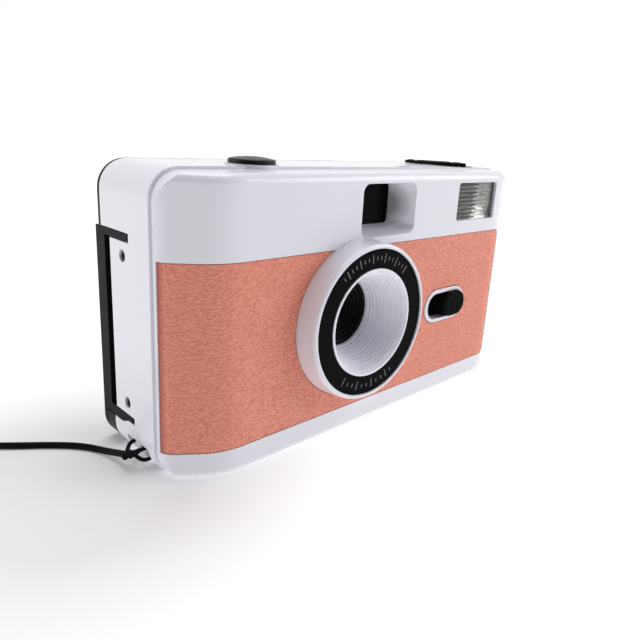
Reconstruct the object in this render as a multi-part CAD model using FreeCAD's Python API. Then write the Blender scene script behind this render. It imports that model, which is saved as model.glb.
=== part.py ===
import FreeCAD, Part
import math
import os
from FreeCAD import Vector

# A reusable 35 mm film camera with a white plastic case, a coral leatherette front and a black back door.
# Millimetres. X runs to the right as seen from the front, Z is up. While the pieces are made, Y is the
# depth behind the flat front face. The last step moves everything so that the origin is the middle of
# the base, below the middle of the whole depth.

# Case
CASE_WIDTH = 118.0
CASE_HEIGHT = 62.9
CASE_DEPTH = 32.5
CASE_CORNER = 6.1
WALL = 1.8
FRONT_STEP_DEPTH = 9.4
FRONT_STEP_INSET = 0.5
FRONT_CORNER = 5.9
FRONT_END = 14.95
FRONT_TURN_RADIUS = 14.8
FRONT_EDGE_RADIUS = 4.55
FRONT_BEVEL_ANGLE = 36.0
FRONT_EDGE_ROUND = 1.9
COVER_REAR = CASE_DEPTH - 3.2
STRIP_REAR = CASE_DEPTH - 2.2
FIT_GAP = 0.1
RUNNING_GAP = 0.06
MOVING_GAP = 0.3

# Lens barrel on the front
LENS_X = -11.4
LENS_Z = 28.8
BARREL_RIM_RADIUS = 18.2
BARREL_BASE_RADIUS = BARREL_RIM_RADIUS + 0.84
BARREL_LENGTH = 5.2
BARREL_WALL = 2.2
RING_OUTER_RADIUS = BARREL_RIM_RADIUS - 0.8
RING_THICKNESS = 0.42
RING_RECESS = 0.38
FUNNEL_MOUTH_RADIUS = BARREL_RIM_RADIUS - 5.9
FUNNEL_RIM = 0.55
FUNNEL_END_RADIUS = 8.4
FUNNEL_END_DEPTH = 5.4
FUNNEL_STEPS = 12
CELL_STEPS = 5
CELL_DEPTH = 2.3
LENS_RADIUS = 3.9
LENS_THICKNESS = 1.7
APERTURE_RADIUS = 1.75

# Leatherette
LEATHER_LOW = 6.6
LEATHER_HIGH = 45.73
LEATHER_RIGHT = CASE_WIDTH / 2 - 10.2
LEATHER_WRAP_DEPTH = 8.1
LEATHER_THICKNESS = 0.5
LEATHER_CORNER = 2.5
LEATHER_SET_BACK = 0.05

# Viewfinder
FINDER_X = -2.7
FINDER_WIDTH = 19.1
FINDER_LOW = 47.7
FINDER_HIGH = 60.0
FINDER_CORNER = 2.1
FINDER_DEPTH = 6.0
FINDER_SIDE_TAPER = 3.75
FINDER_FLOOR_TAPER = 2.0
FINDER_TOP_TAPER = 0.7
FINDER_GLASS = 1.0
FINDER_WALL = 0.9
FINDER_TUBE_WALL = 0.8

# Flash
FLASH_RIGHT = CASE_WIDTH / 2 - 15.4
FLASH_LEFT = FLASH_RIGHT - 18.5
FLASH_LOW = 49.5
FLASH_HIGH = 59.65
FLASH_CORNER = 0.8
FLASH_WINDOW_DEPTH = 0.7
FLASH_WINDOW_THICKNESS = 1.0
FLASH_RIBS = 9
REFLECTOR_DEPTH = 6.6
REFLECTOR_WALL = 0.4
TUBE_RADIUS = 1.4

# Flash switch
SWITCH_LEFT = 14.9
SWITCH_RIGHT = 32.9
SWITCH_LOW = 21.75
SWITCH_HIGH = 31.2
SWITCH_RIM = 1.1
SWITCH_PROUD = 0.35
SWITCH_FLOOR_DEPTH = 2.6
KNOB_LENGTH = 9.7
KNOB_PROUD = 1.6
KNOB_RIBS = 7

# Shutter release
BUTTON_X = -CASE_WIDTH / 2 + 25.8
BUTTON_DEPTH = 13.3
BUTTON_RADIUS = 5.05
BUTTON_RISE = 0.9
BUTTON_DOME = 0.6
BUTTON_TRAVEL = 1.6
BUTTON_STEM_RADIUS = 1.6
COLLAR_WIDTH = 0.7
COLLAR_RISE = 0.35
LEVER_PIVOT_X = BUTTON_X + 6.7
LEVER_PIVOT_Z = 51.0
LEVER_THICKNESS = 0.9
LEVER_DEPTH = 12.3

# Shutter
BLADE_PIVOT_OUT = 8.5
BLADE_PIVOT_UP = 6.0
BLADE_THICKNESS = 0.3
BLADE_RADIUS = 3.4
SHUTTER_PLATE_DEPTH = 10.0
SHUTTER_PLATE_THICKNESS = 1.0

# Film path
FILM_WIDTH = 35.0
GATE_WIDTH = 36.0
GATE_HEIGHT = 24.0
RAIL_DEPTH = CASE_DEPTH - 3.9
PLATE_FRONT = CASE_DEPTH - 5.7
PLATE_REAR = CASE_DEPTH - 4.3
CASSETTE_X = CASE_WIDTH / 2 - 15.8
CASSETTE_DEPTH = 16.2
CASSETTE_RADIUS = 12.6
CASSETTE_HEIGHT = 44.0
CHAMBER_GAP = 0.3
CHAMBER_WALL = 0.7
SHELF_THICKNESS = 1.0
TAKEUP_X = -CASE_WIDTH / 2 + 14.4
TAKEUP_DEPTH = 20.2
TAKEUP_RADIUS = 10.2
TAKEUP_LOW = 9.4
SPOOL_RADIUS = 5.5
SPOOL_SLOTS = 6
WHEEL_RADIUS = 11.4
WHEEL_LOW = 52.6
WHEEL_THICKNESS = 4.0
WHEEL_TEETH = 40
SPROCKET_X = 15.5
SPROCKET_DEPTH = 23.2
SPROCKET_RADIUS = 5.5
SPROCKET_TEETH = 8
PERFORATION_SPACING = 28.2
SHAFT_RADIUS = 1.5
DIAL_RADIUS = 6.2
DIAL_THICKNESS = 1.0
DIAL_TEETH = 40

# Rewind
KNOB_RADIUS = 6.5
KNOB_THICKNESS = 0.8
KNOB_SUNK = 0.85
REWIND_SHAFT_RADIUS = 2.4
CRANK_THICKNESS = 0.8
CRANK_ANGLE = 143.0
CRANK_WIDTH = 5.6
CRANK_PIVOT = -2.8
CRANK_REACH = 14.1

# Back door
DOOR_TOP = 49.3
DOOR_LOW = 2.8
DOOR_FRONT = CASE_DEPTH - 2.0
DOOR_RIM_FRONT = CASE_DEPTH - 3.0
DOOR_RIM = 1.6
TONGUE_FRONT = CASE_DEPTH - 5.6
DOOR_SIDE = 1.5
HINGE_DEPTH = 19.0
HINGE_INSET = 0.8
HINGE_PIN_RADIUS = 0.5
ARM_FRONT = 18.1
ARM_UPPER = 1.5
ARM_LOWER_LOW = 7.9
ARM_LOWER_HIGH = 10.2
ARM_TIP_LOW = 9.0
ARM_SLANT_FRONT = 20.3
ARM_SLANT_REAR = 23.0
CHANNEL_FRONT = 25.5
DOOR_BAR_FRONT = CASE_DEPTH - 4.6
DOOR_STEP_X = -CASE_WIDTH / 2 + 8.6
DOOR_EDGE_ROUND = 0.8
LATCH_LOW = 30.5
LATCH_HIGH = 40.5
LATCH_FRONT = 19.8
LATCH_REAR = 26.2
LATCH_TRAVEL = 4.5

# Small fittings
SIDE_SCREW_DEPTH = 20.3
SIDE_SCREW_HEIGHTS = (13.1, 44.7)
SCREW_HEAD_RADIUS = 1.15
SCREW_SHANK_RADIUS = 0.75
BATTERY_X = 14.6
BATTERY_RADIUS = 5.25
BATTERY_LENGTH = 44.5
BATTERY_DOOR_LEFT = 5.8
BATTERY_DOOR_RIGHT = 22.8
BATTERY_DOOR_FRONT = 3.4
BATTERY_DOOR_REAR = 16.0
BATTERY_DOOR_THICKNESS = 0.7
BATTERY_DOOR_TRAVEL = 11.5
CAPACITOR_X = 25.6
CAPACITOR_RADIUS = 4.2
CAPACITOR_LENGTH = 26.0
BOARD_DEPTH = 15.1
BOARD_THICKNESS = 1.0
BOARD_LEFT = 8.6
BOARD_RIGHT = 29.0
RELEASE_RADIUS = 2.2
RELEASE_TRAVEL = 1.2
RELEASE_TOP = 3.0
COUNTER_WINDOW_RADIUS = 2.0
COUNTER_WINDOW_DEPTH = 12.0
REAR_SCREW_X = CASE_WIDTH / 2 - 8.5
REAR_SCREW_Z = CASE_HEIGHT - 3.9
BASE_SCREW_XS = (-28.0, 34.0)
BASE_SCREW_DEPTH = 21.0
LAMP_X = 9.0
LAMP_Z = 55.5
LAMP_RADIUS = 1.2

# Strap lug and lanyard
LUG_FRONT = 12.0
LUG_REAR = 21.0
LUG_BRIDGE_FRONT = 15.0
LUG_BRIDGE_REAR = 17.4
LUG_BRIDGE_THICKNESS = 1.3
LUG_POCKET_RADIUS = 3.9
LUG_POCKET_INSET = 2.95
STRING_DIAMETER = 0.8
LINE_DIAMETER = 1.5
KNOT_RADIUS = 1.25
LEFT_SIDE = -CASE_WIDTH / 2
KNOT = (LEFT_SIDE - 2.5, 16.0, 3.6)
HITCH_ROUTE = [
    KNOT,
    (LEFT_SIDE - 0.3, 14.05, 4.4),
    (LEFT_SIDE + 3.6, 14.25, 3.6),
    (LEFT_SIDE + 3.6, 18.25, 3.6),
    (LEFT_SIDE - 0.3, 18.5, 4.5),
    KNOT,
]
LINE_ROUTE = [
    KNOT,
    (LEFT_SIDE - 2.6, 20.2, 2.1),
    (LEFT_SIDE - 3.4, 25.1, 0.75),
    (LEFT_SIDE - 6.2, 29.9, 0.75),
    (LEFT_SIDE - 10.6, 34.0, 0.75),
    (LEFT_SIDE - 15.6, 37.7, 0.75),
    (LEFT_SIDE - 20.6, 41.6, 0.75),
    (LEFT_SIDE - 25.2, 45.3, 0.75),
    (LEFT_SIDE - 29.4, 48.9, 0.75),
]
COIL_OUTER_RADIUS = 10.3
COIL_PITCH = 1.95
COIL_HALF_TURNS = 5
COIL_END_RADIUS = 4.6
END_KNOT_RADIUS = 1.4

# Values that follow from the sizes above
HALF_WIDTH = CASE_WIDTH / 2
ORIGIN_SHIFT = (BARREL_LENGTH - CASE_DEPTH) / 2
TOP_INSIDE = CASE_HEIGHT - WALL
CASSETTE_LOW = LENS_Z - CASSETTE_HEIGHT / 2 - 2 * CHAMBER_GAP
CHAMBER_HIGH = LENS_Z + CASSETTE_HEIGHT / 2 + CHAMBER_GAP
CHAMBER_RADIUS = CASSETTE_RADIUS + CHAMBER_GAP
SHELF_TOP = CHAMBER_HIGH + SHELF_THICKNESS
STRIP_LOW = DOOR_TOP + MOVING_GAP
BASE_STRIP_TOP = DOOR_LOW - MOVING_GAP
TONGUE_TOP = ARM_LOWER_LOW - MOVING_GAP
TONGUE_REAR = DOOR_FRONT - MOVING_GAP
HINGE_X = -HALF_WIDTH + HINGE_INSET
LUG_X = -HALF_WIDTH + LUG_POCKET_INSET
LUG_Z = LUG_POCKET_INSET
BATTERY_DEPTH = BOARD_DEPTH - BATTERY_RADIUS - 0.15
CAPACITOR_DEPTH = BOARD_DEPTH - CAPACITOR_RADIUS - 0.15
BATTERY_DOOR_TOP = FRONT_STEP_INSET + 0.05 + BATTERY_DOOR_THICKNESS
BATTERY_LOW = BATTERY_DOOR_TOP + 0.1
FINDER_INNER_LEFT = FINDER_X - FINDER_WIDTH / 2 + FINDER_SIDE_TAPER
FINDER_INNER_RIGHT = FINDER_X + FINDER_WIDTH / 2 - FINDER_SIDE_TAPER
FINDER_INNER_LOW = FINDER_LOW + FINDER_FLOOR_TAPER
FINDER_INNER_HIGH = FINDER_HIGH - FINDER_TOP_TAPER


def box(x0, x1, y0, y1, z0, z1):
    return Part.makeBox(x1 - x0, y1 - y0, z1 - z0, Vector(x0, y0, z0))


def cylinder_x(y, z, x0, x1, radius):
    return Part.makeCylinder(radius, x1 - x0, Vector(x0, y, z), Vector(1, 0, 0))


def cylinder_y(x, z, y0, y1, radius):
    return Part.makeCylinder(radius, y1 - y0, Vector(x, y0, z), Vector(0, 1, 0))


def cylinder_z(x, y, z0, z1, radius):
    return Part.makeCylinder(radius, z1 - z0, Vector(x, y, z0), Vector(0, 0, 1))


def join(shapes):
    whole = shapes[0]
    for shape in shapes[1:]:
        whole = whole.fuse(shape)
    return whole.removeSplitter()


def rounded_wire(x0, x1, z0, z1, radius, y):
    """A rounded rectangle in the plane of the front face, at depth y."""
    corners = [
        (x1 - radius, z0 + radius, 270),
        (x1 - radius, z1 - radius, 0),
        (x0 + radius, z1 - radius, 90),
        (x0 + radius, z0 + radius, 180),
    ]
    points = []
    for cx, cz, start in corners:
        for turn in (0, 45, 90):
            angle = math.radians(start + turn)
            points.append(Vector(cx + radius * math.cos(angle), y, cz + radius * math.sin(angle)))
    edges = []
    for i in range(4):
        a, b, c = points[3 * i : 3 * i + 3]
        following = points[(3 * i + 3) % 12]
        edges.append(Part.Arc(a, b, c).toShape())
        if c.distanceToPoint(following) > 1e-6:
            edges.append(Part.LineSegment(c, following).toShape())
    return Part.Wire(edges)


def rounded_prism(x0, x1, z0, z1, radius, y0, y1):
    face = Part.Face(rounded_wire(x0, x1, z0, z1, radius, y0))
    return face.extrude(Vector(0, y1 - y0, 0))


def tapered(front, rear):
    """A solid between two rounded rectangles, each (x0, x1, z0, z1, radius, depth)."""
    return Part.makeLoft([rounded_wire(*front), rounded_wire(*rear)], True, True)


def polygon_prism(points, direction):
    wire = Part.makePolygon(points + [points[0]])
    return Part.Face(wire).extrude(direction)


def turned(profile, x, z):
    """Turn a closed profile of (radius, depth) points about a line along Y."""
    points = [Vector(x + r, y, z) for r, y in profile]
    face = Part.Face(Part.makePolygon(points + [points[0]]))
    return face.revolve(Vector(x, 0, z), Vector(0, 1, 0), 360)


def front_plan(inset, z0, z1, rear):
    """The case's front as seen from above, drawn in by inset: flat, round, bevel, round, side."""
    angle = math.radians(FRONT_BEVEL_ANGLE)
    half = angle / 2
    late = (angle + math.pi / 2) / 2
    side = HALF_WIDTH - FRONT_STEP_INSET
    first = Vector(HALF_WIDTH - FRONT_END, FRONT_TURN_RADIUS, 0)
    run = side - FRONT_EDGE_RADIUS * (1 - math.sin(angle)) - first.x - FRONT_TURN_RADIUS * math.sin(angle)
    bevel_start = FRONT_TURN_RADIUS * (1 - math.cos(angle))
    second_y = bevel_start + run * math.tan(angle) + FRONT_EDGE_RADIUS * math.cos(angle)
    second = Vector(side - FRONT_EDGE_RADIUS, second_y, 0)

    def on_turn(centre, radius, turn):
        return Vector(centre.x + radius * math.sin(turn), centre.y - radius * math.cos(turn), z0)

    big = FRONT_TURN_RADIUS - inset
    small = FRONT_EDGE_RADIUS - inset
    right = [on_turn(first, big, 0), on_turn(first, big, half), on_turn(first, big, angle)]
    right += [on_turn(second, small, angle), on_turn(second, small, late), on_turn(second, small, math.pi / 2)]
    right.append(Vector(side - inset, rear, z0))
    left = [Vector(-p.x, p.y, z0) for p in reversed(right)]
    edges = [
        Part.Arc(right[0], right[1], right[2]).toShape(),
        Part.LineSegment(right[2], right[3]).toShape(),
        Part.Arc(right[3], right[4], right[5]).toShape(),
        Part.LineSegment(right[5], right[6]).toShape(),
        Part.LineSegment(right[6], left[0]).toShape(),
        Part.LineSegment(left[0], left[1]).toShape(),
        Part.Arc(left[1], left[2], left[3]).toShape(),
        Part.LineSegment(left[3], left[4]).toShape(),
        Part.Arc(left[4], left[5], left[6]).toShape(),
        Part.LineSegment(left[6], right[0]).toShape(),
    ]
    return Part.Face(Part.Wire(edges)).extrude(Vector(0, 0, z1 - z0))


def case_section(inset, y0, y1):
    """The case's full outline as seen from the front, drawn in by inset."""
    radius = CASE_CORNER - inset
    return rounded_prism(-HALF_WIDTH + inset, HALF_WIDTH - inset, inset, CASE_HEIGHT - inset, radius, y0, y1)


def front_block():
    """The raised front of the case, with its curved ends, rounded top and bottom edges and corners."""
    side = HALF_WIDTH - FRONT_STEP_INSET
    rear = FRONT_STEP_DEPTH + WALL
    low = FRONT_STEP_INSET
    high = CASE_HEIGHT - FRONT_STEP_INSET
    plan = front_plan(0, low, high, rear)
    rims = [edge for edge in plan.Edges if edge.BoundBox.ZLength < 0.01 and edge.BoundBox.YMin < rear - WALL]
    plan = plan.makeFillet(FRONT_EDGE_ROUND, rims)
    return plan.common(rounded_prism(-side, side, low, high, FRONT_CORNER, -1, rear))


def leather_outline(gap):
    """The leatherette's outline: square on the left, rounded on the right, cut round barrel and switch."""
    left = -HALF_WIDTH - 1
    right = LEATHER_RIGHT + gap
    low = LEATHER_LOW - gap
    high = LEATHER_HIGH + gap
    sheet = rounded_prism(left - 5, right, low, high, LEATHER_CORNER, -1, LEATHER_WRAP_DEPTH + gap)
    sheet = join([sheet, box(left, 0, -1, LEATHER_WRAP_DEPTH + gap, low, high)])
    sheet = sheet.cut(cylinder_y(LENS_X, LENS_Z, -2, FRONT_STEP_DEPTH, BARREL_BASE_RADIUS + FIT_GAP - gap))
    return sheet


def switch_outline(grow, y0, y1):
    radius = (SWITCH_HIGH - SWITCH_LOW) / 2 + grow - 0.02
    return rounded_prism(
        SWITCH_LEFT - grow, SWITCH_RIGHT + grow, SWITCH_LOW - grow, SWITCH_HIGH + grow, radius, y0, y1
    )


def front_skin(outer, inner):
    """The layer of the case's front between two insets."""
    skin = front_plan(outer, 0, CASE_HEIGHT, FRONT_STEP_DEPTH)
    return skin.cut(front_plan(inner, -1, CASE_HEIGHT + 1, FRONT_STEP_DEPTH + 1))


def leatherette():
    sheet = front_skin(LEATHER_SET_BACK, LEATHER_THICKNESS).common(leather_outline(0))
    return sheet.cut(switch_outline(FIT_GAP, -1, WALL))


def barrel_body():
    """The lens barrel: a slightly tapered tube with a seat for the printed ring and the funnel."""
    rim = -BARREL_LENGTH
    ring_front = rim + RING_RECESS
    ring_back = ring_front + RING_THICKNESS
    seat_back = ring_back + 1.0
    mouth = FUNNEL_MOUTH_RADIUS + FUNNEL_RIM + FIT_GAP
    inner = BARREL_RIM_RADIUS - BARREL_WALL
    profile = [
        (BARREL_BASE_RADIUS, WALL),
        (BARREL_BASE_RADIUS, 0),
        (BARREL_RIM_RADIUS + 0.3, rim + 0.55),
        (BARREL_RIM_RADIUS + 0.13, rim + 0.17),
        (BARREL_RIM_RADIUS - 0.25, rim),
        (RING_OUTER_RADIUS + FIT_GAP, rim),
        (RING_OUTER_RADIUS + FIT_GAP, ring_back),
        (mouth, ring_back),
        (mouth, seat_back),
        (inner, seat_back),
        (inner, WALL),
    ]
    return turned(profile, LENS_X, LENS_Z)


def finder_block():
    """The tapered walls of the viewfinder recess, behind the front face."""
    half = FINDER_WIDTH / 2
    wall = FINDER_WALL
    x0, x1 = FINDER_X - half, FINDER_X + half
    front = (x0 - wall, x1 + wall, FINDER_LOW - wall, FINDER_HIGH + wall, FINDER_CORNER + wall, 0.5)
    rear = (
        x0 + FINDER_SIDE_TAPER - wall,
        x1 - FINDER_SIDE_TAPER + wall,
        FINDER_LOW + FINDER_FLOOR_TAPER - wall,
        FINDER_HIGH - FINDER_TOP_TAPER + wall,
        FINDER_CORNER / 2 + wall,
        FINDER_DEPTH,
    )
    return tapered(front, rear)


def finder_hole():
    half = FINDER_WIDTH / 2
    x0, x1 = FINDER_X - half, FINDER_X + half
    front = (x0, x1, FINDER_LOW, FINDER_HIGH, FINDER_CORNER, 0)
    rear = (
        x0 + FINDER_SIDE_TAPER,
        x1 - FINDER_SIDE_TAPER,
        FINDER_LOW + FINDER_FLOOR_TAPER,
        FINDER_HIGH - FINDER_TOP_TAPER,
        FINDER_CORNER / 2,
        FINDER_DEPTH,
    )
    mouth = rounded_prism(x0, x1, FINDER_LOW, FINDER_HIGH, FINDER_CORNER, -1, 0)
    return join([tapered(front, rear), mouth])


def lug_pocket():
    """The hollow in the lower left corner, without the bridge that the string goes round."""
    pocket = cylinder_y(LUG_X, LUG_Z, LUG_FRONT, LUG_REAR, LUG_POCKET_RADIUS)
    corner_x = -HALF_WIDTH + CASE_CORNER
    bridge = cylinder_y(corner_x, CASE_CORNER, LUG_BRIDGE_FRONT, LUG_BRIDGE_REAR, CASE_CORNER + 1)
    bore = CASE_CORNER - LUG_BRIDGE_THICKNESS
    bridge = bridge.cut(cylinder_y(corner_x, CASE_CORNER, LUG_FRONT, LUG_REAR, bore))
    return pocket.cut(bridge)


def below_arm(grow):
    """The space under the lower hinge arm's slanted front end, drawn in by grow."""
    x0, x1 = -HALF_WIDTH - 2, -HALF_WIDTH + WALL + 1
    low, high = ARM_LOWER_LOW - grow, ARM_TIP_LOW - grow
    outline = [(ARM_FRONT - 2, low - 1), (ARM_SLANT_REAR, low - 1), (ARM_SLANT_REAR, low)]
    outline += [(ARM_SLANT_FRONT, high), (ARM_FRONT - 2, high)]
    points = [Vector(x0, y, z) for y, z in outline]
    return polygon_prism(points, Vector(x1 - x0, 0, 0))


def arm_slots(grow):
    """The places of the two hinge arms in the left wall."""
    x0, x1 = -HALF_WIDTH - 1, -HALF_WIDTH + WALL + 0.1
    slots = []
    for low, high in ((DOOR_TOP - ARM_UPPER, DOOR_TOP), (ARM_LOWER_LOW, ARM_LOWER_HIGH)):
        slot = box(x0, x1, ARM_FRONT - grow, COVER_REAR + 1, low - grow, high + grow)
        reach = HINGE_DEPTH - ARM_FRONT + HINGE_INSET
        round_end = cylinder_z(HINGE_X, HINGE_DEPTH, low - grow, high + grow, reach)
        slots.append(join([slot, round_end]).cut(below_arm(grow)))
    return slots


def front_cover():
    """The white front half of the case."""
    shell = join([front_block(), case_section(0, FRONT_STEP_DEPTH, COVER_REAR)])
    step = FRONT_STEP_DEPTH + 1
    inside = case_section(WALL, -1, step + 0.1).common(front_plan(WALL, 0, CASE_HEIGHT, COVER_REAR + 1))
    inside = join([inside, case_section(WALL, step, COVER_REAR + 1)])
    barrel_hole = cylinder_y(LENS_X, LENS_Z, -1, WALL + 1, BARREL_RIM_RADIUS - BARREL_WALL)
    shell = shell.cut(inside)
    backing = cylinder_y(LUG_X, LUG_Z, LUG_FRONT - 1, LUG_REAR + 1, LUG_POCKET_RADIUS + 1.2)
    backing = backing.common(case_section(WALL / 2, LUG_FRONT - 1, LUG_REAR + 1))
    well_floor = TOP_INSIDE - 1.7
    well = cylinder_z(BUTTON_X, BUTTON_DEPTH, well_floor - 1, TOP_INSIDE + 0.5, BUTTON_RADIUS + COLLAR_WIDTH)
    collar_top = CASE_HEIGHT + COLLAR_RISE
    collar = cylinder_z(BUTTON_X, BUTTON_DEPTH, TOP_INSIDE, collar_top, BUTTON_RADIUS + COLLAR_WIDTH)
    dial_post = cylinder_z(SPROCKET_X, CASSETTE_DEPTH, TOP_INSIDE - 2.4, TOP_INSIDE + 0.5, 0.8)
    rear_bosses = []
    for x in (-REAR_SCREW_X, REAR_SCREW_X):
        rear_bosses.append(cylinder_y(x, REAR_SCREW_Z, COVER_REAR - 9, COVER_REAR, 2.0))
        rear_bosses.append(box(x - 1, x + 1, COVER_REAR - 9, COVER_REAR, REAR_SCREW_Z, TOP_INSIDE + 0.2))
    inner = [barrel_body(), finder_block(), backing, well, collar, dial_post, spring_seat()]
    shell = join([shell] + inner + rear_bosses)
    cuts = [barrel_hole, finder_hole(), lug_pocket()]
    cuts.append(front_skin(-1, LEATHER_THICKNESS + LEATHER_SET_BACK).common(leather_outline(FIT_GAP)))
    cuts.append(switch_outline(0, -1, WALL + 1))
    cuts.append(rounded_prism(FLASH_LEFT, FLASH_RIGHT, FLASH_LOW, FLASH_HIGH, FLASH_CORNER, -1, WALL + 1))
    cuts.append(cylinder_z(BUTTON_X, BUTTON_DEPTH, well_floor, CASE_HEIGHT + 1, BUTTON_RADIUS + 2 * FIT_GAP))
    cuts.append(cylinder_z(BUTTON_X, BUTTON_DEPTH, well_floor - 2, CASE_HEIGHT, BUTTON_STEM_RADIUS + RUNNING_GAP))
    above = CASE_HEIGHT + 1
    bearing = REWIND_SHAFT_RADIUS + RUNNING_GAP
    cuts.append(cylinder_z(CASSETTE_X, CASSETTE_DEPTH, TOP_INSIDE - 1, above, bearing))
    seat = CASE_HEIGHT - KNOB_SUNK - FIT_GAP / 2
    cuts.append(cylinder_z(CASSETTE_X, CASSETTE_DEPTH, seat, above, KNOB_RADIUS + 2 * FIT_GAP))
    window = COUNTER_WINDOW_RADIUS + FIT_GAP
    cuts.append(cylinder_z(SPROCKET_X, COUNTER_WINDOW_DEPTH, TOP_INSIDE - 1, CASE_HEIGHT + 1, window))
    cuts += arm_slots(0.2)
    outside = -HALF_WIDTH - 1
    within = -HALF_WIDTH + WALL + 0.1
    cuts.append(box(outside, within, CHANNEL_FRONT, COVER_REAR + 1, ARM_LOWER_LOW, DOOR_TOP + 0.2))
    cuts.append(box(outside, DOOR_STEP_X + 0.4, TONGUE_FRONT - 0.4, COVER_REAR + 1, -1, ARM_LOWER_LOW + 0.1))
    shank = SCREW_SHANK_RADIUS + RUNNING_GAP
    for z in SIDE_SCREW_HEIGHTS:
        cuts.append(cylinder_x(SIDE_SCREW_DEPTH, z, outside, -HALF_WIDTH + 1.0, SCREW_HEAD_RADIUS + FIT_GAP))
        cuts.append(cylinder_x(SIDE_SCREW_DEPTH, z, outside, within + 0.9, shank))
    for low, high in hinge_pin_spans():
        cuts.append(cylinder_z(HINGE_X, HINGE_DEPTH, low - 0.05, high + 0.05, HINGE_PIN_RADIUS + 0.02))
    for x in (-REAR_SCREW_X, REAR_SCREW_X):
        cuts.append(cylinder_y(x, REAR_SCREW_Z, COVER_REAR - 7, COVER_REAR + 1, SCREW_SHANK_RADIUS + 0.05))
    for x in BASE_SCREW_XS:
        cuts.append(cylinder_z(x, BASE_SCREW_DEPTH, -1, 1.1, SCREW_HEAD_RADIUS + 0.4))
        cuts.append(cylinder_z(x, BASE_SCREW_DEPTH, -1, WALL + 1, SCREW_SHANK_RADIUS + 0.05))
    cuts += [battery_door_recess(), battery_hole(), release_hole(), latch_recess(), latch_slot()]
    for cut in cuts:
        shell = shell.cut(cut)
    return shell.removeSplitter()


def hinge_pin_spans():
    """The two steel pins run through the arms and a little way into the wall on each side."""
    reach = 1.3
    return (
        (ARM_LOWER_LOW - reach, ARM_LOWER_HIGH + reach),
        (DOOR_TOP - ARM_UPPER - reach, DOOR_TOP + reach),
    )


def hinge_pins():
    return [cylinder_z(HINGE_X, HINGE_DEPTH, low, high, HINGE_PIN_RADIUS) for low, high in hinge_pin_spans()]


def side_screws():
    inward = Vector(1, 0, 0)
    face = -HALF_WIDTH + 0.45
    screws = []
    for z in SIDE_SCREW_HEIGHTS:
        screws.append(screw(Vector(face, SIDE_SCREW_DEPTH, z), inward, SCREW_HEAD_RADIUS, 0.5, 2.9))
    return screws


def battery_door_recess():
    return box(
        BATTERY_DOOR_LEFT - FIT_GAP,
        BATTERY_DOOR_RIGHT + BATTERY_DOOR_TRAVEL + FIT_GAP,
        BATTERY_DOOR_FRONT - FIT_GAP,
        BATTERY_DOOR_REAR + FIT_GAP,
        -1,
        BATTERY_DOOR_TOP + 0.05,
    )


def battery_hole():
    return cylinder_z(BATTERY_X, BATTERY_DEPTH, -1, WALL + 1, BATTERY_RADIUS + 0.5)


def release_hole():
    return cylinder_z(SPROCKET_X, SPROCKET_DEPTH, -1, WALL + 1, RELEASE_RADIUS + RUNNING_GAP)


def latch_recess():
    low = LATCH_LOW - LATCH_TRAVEL - 0.6
    high = LATCH_HIGH + 0.6
    floor = HALF_WIDTH - 1.15
    return rounded_prism_x(LATCH_FRONT - 0.4, LATCH_REAR + 0.4, low, high, 1.5, floor, HALF_WIDTH + 1)


def latch_slot():
    middle = (LATCH_FRONT + LATCH_REAR) / 2
    low = LATCH_LOW + 2.5 - LATCH_TRAVEL
    return box(HALF_WIDTH - 3, HALF_WIDTH, middle - 1.3, middle + 1.3, low - 0.2, LATCH_HIGH - 2.5 + 0.2)


def rounded_prism_x(y0, y1, z0, z1, radius, x0, x1):
    """A rounded rectangle seen from the side, made solid along X."""
    flat = rounded_prism(y0, y1, z0, z1, radius, -x1, -x0)
    flat.rotate(Vector(0, 0, 0), Vector(0, 0, 1), 90)
    return flat


def bar_xz(start, end, width, y0, y1):
    """A flat link with round ends, lying across the depth."""
    (x0, z0), (x1, z1) = start, end
    length = math.hypot(x1 - x0, z1 - z0)
    nx, nz = (z0 - z1) / length * width / 2, (x1 - x0) / length * width / 2
    corners = [(x0 + nx, z0 + nz), (x1 + nx, z1 + nz), (x1 - nx, z1 - nz), (x0 - nx, z0 - nz)]
    link = polygon_prism([Vector(x, y0, z) for x, z in corners], Vector(0, y1 - y0, 0))
    ends = [cylinder_y(x, z, y0, y1, width / 2) for x, z in (start, end)]
    return join([link] + ends)


def lens_ring():
    """The flat black ring between the barrel's rim and the funnel."""
    front = -BARREL_LENGTH + RING_RECESS
    ring = cylinder_y(LENS_X, LENS_Z, front, front + RING_THICKNESS, RING_OUTER_RADIUS)
    return ring.cut(cylinder_y(LENS_X, LENS_Z, front - 1, front + 1, FUNNEL_MOUTH_RADIUS + FUNNEL_RIM + FIT_GAP))


def funnel():
    """The white funnel with its steps, from the mouth down to the lens cell."""
    mouth = -BARREL_LENGTH + 0.15
    seat = -BARREL_LENGTH + RING_RECESS + RING_THICKNESS + 1.05
    rise = (FUNNEL_END_DEPTH - mouth) / FUNNEL_STEPS
    shrink = (FUNNEL_MOUTH_RADIUS - FUNNEL_END_RADIUS) / FUNNEL_STEPS
    profile = [(FUNNEL_MOUTH_RADIUS + FUNNEL_RIM, mouth), (FUNNEL_MOUTH_RADIUS + FUNNEL_RIM, seat)]
    profile += [(FUNNEL_MOUTH_RADIUS + 2.2, seat), (FUNNEL_MOUTH_RADIUS + 2.2, seat + 0.8)]
    profile += [(FUNNEL_MOUTH_RADIUS + FUNNEL_RIM, seat + 0.8), (FUNNEL_END_RADIUS + 1.2, FUNNEL_END_DEPTH)]
    for step in range(FUNNEL_STEPS, 0, -1):
        radius = FUNNEL_MOUTH_RADIUS - step * shrink
        depth = mouth + step * rise
        profile.append((radius, depth))
        profile.append((radius + shrink * 0.25, depth - rise))
    profile[-1] = (FUNNEL_MOUTH_RADIUS, mouth)
    return turned(profile, LENS_X, LENS_Z)


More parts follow.
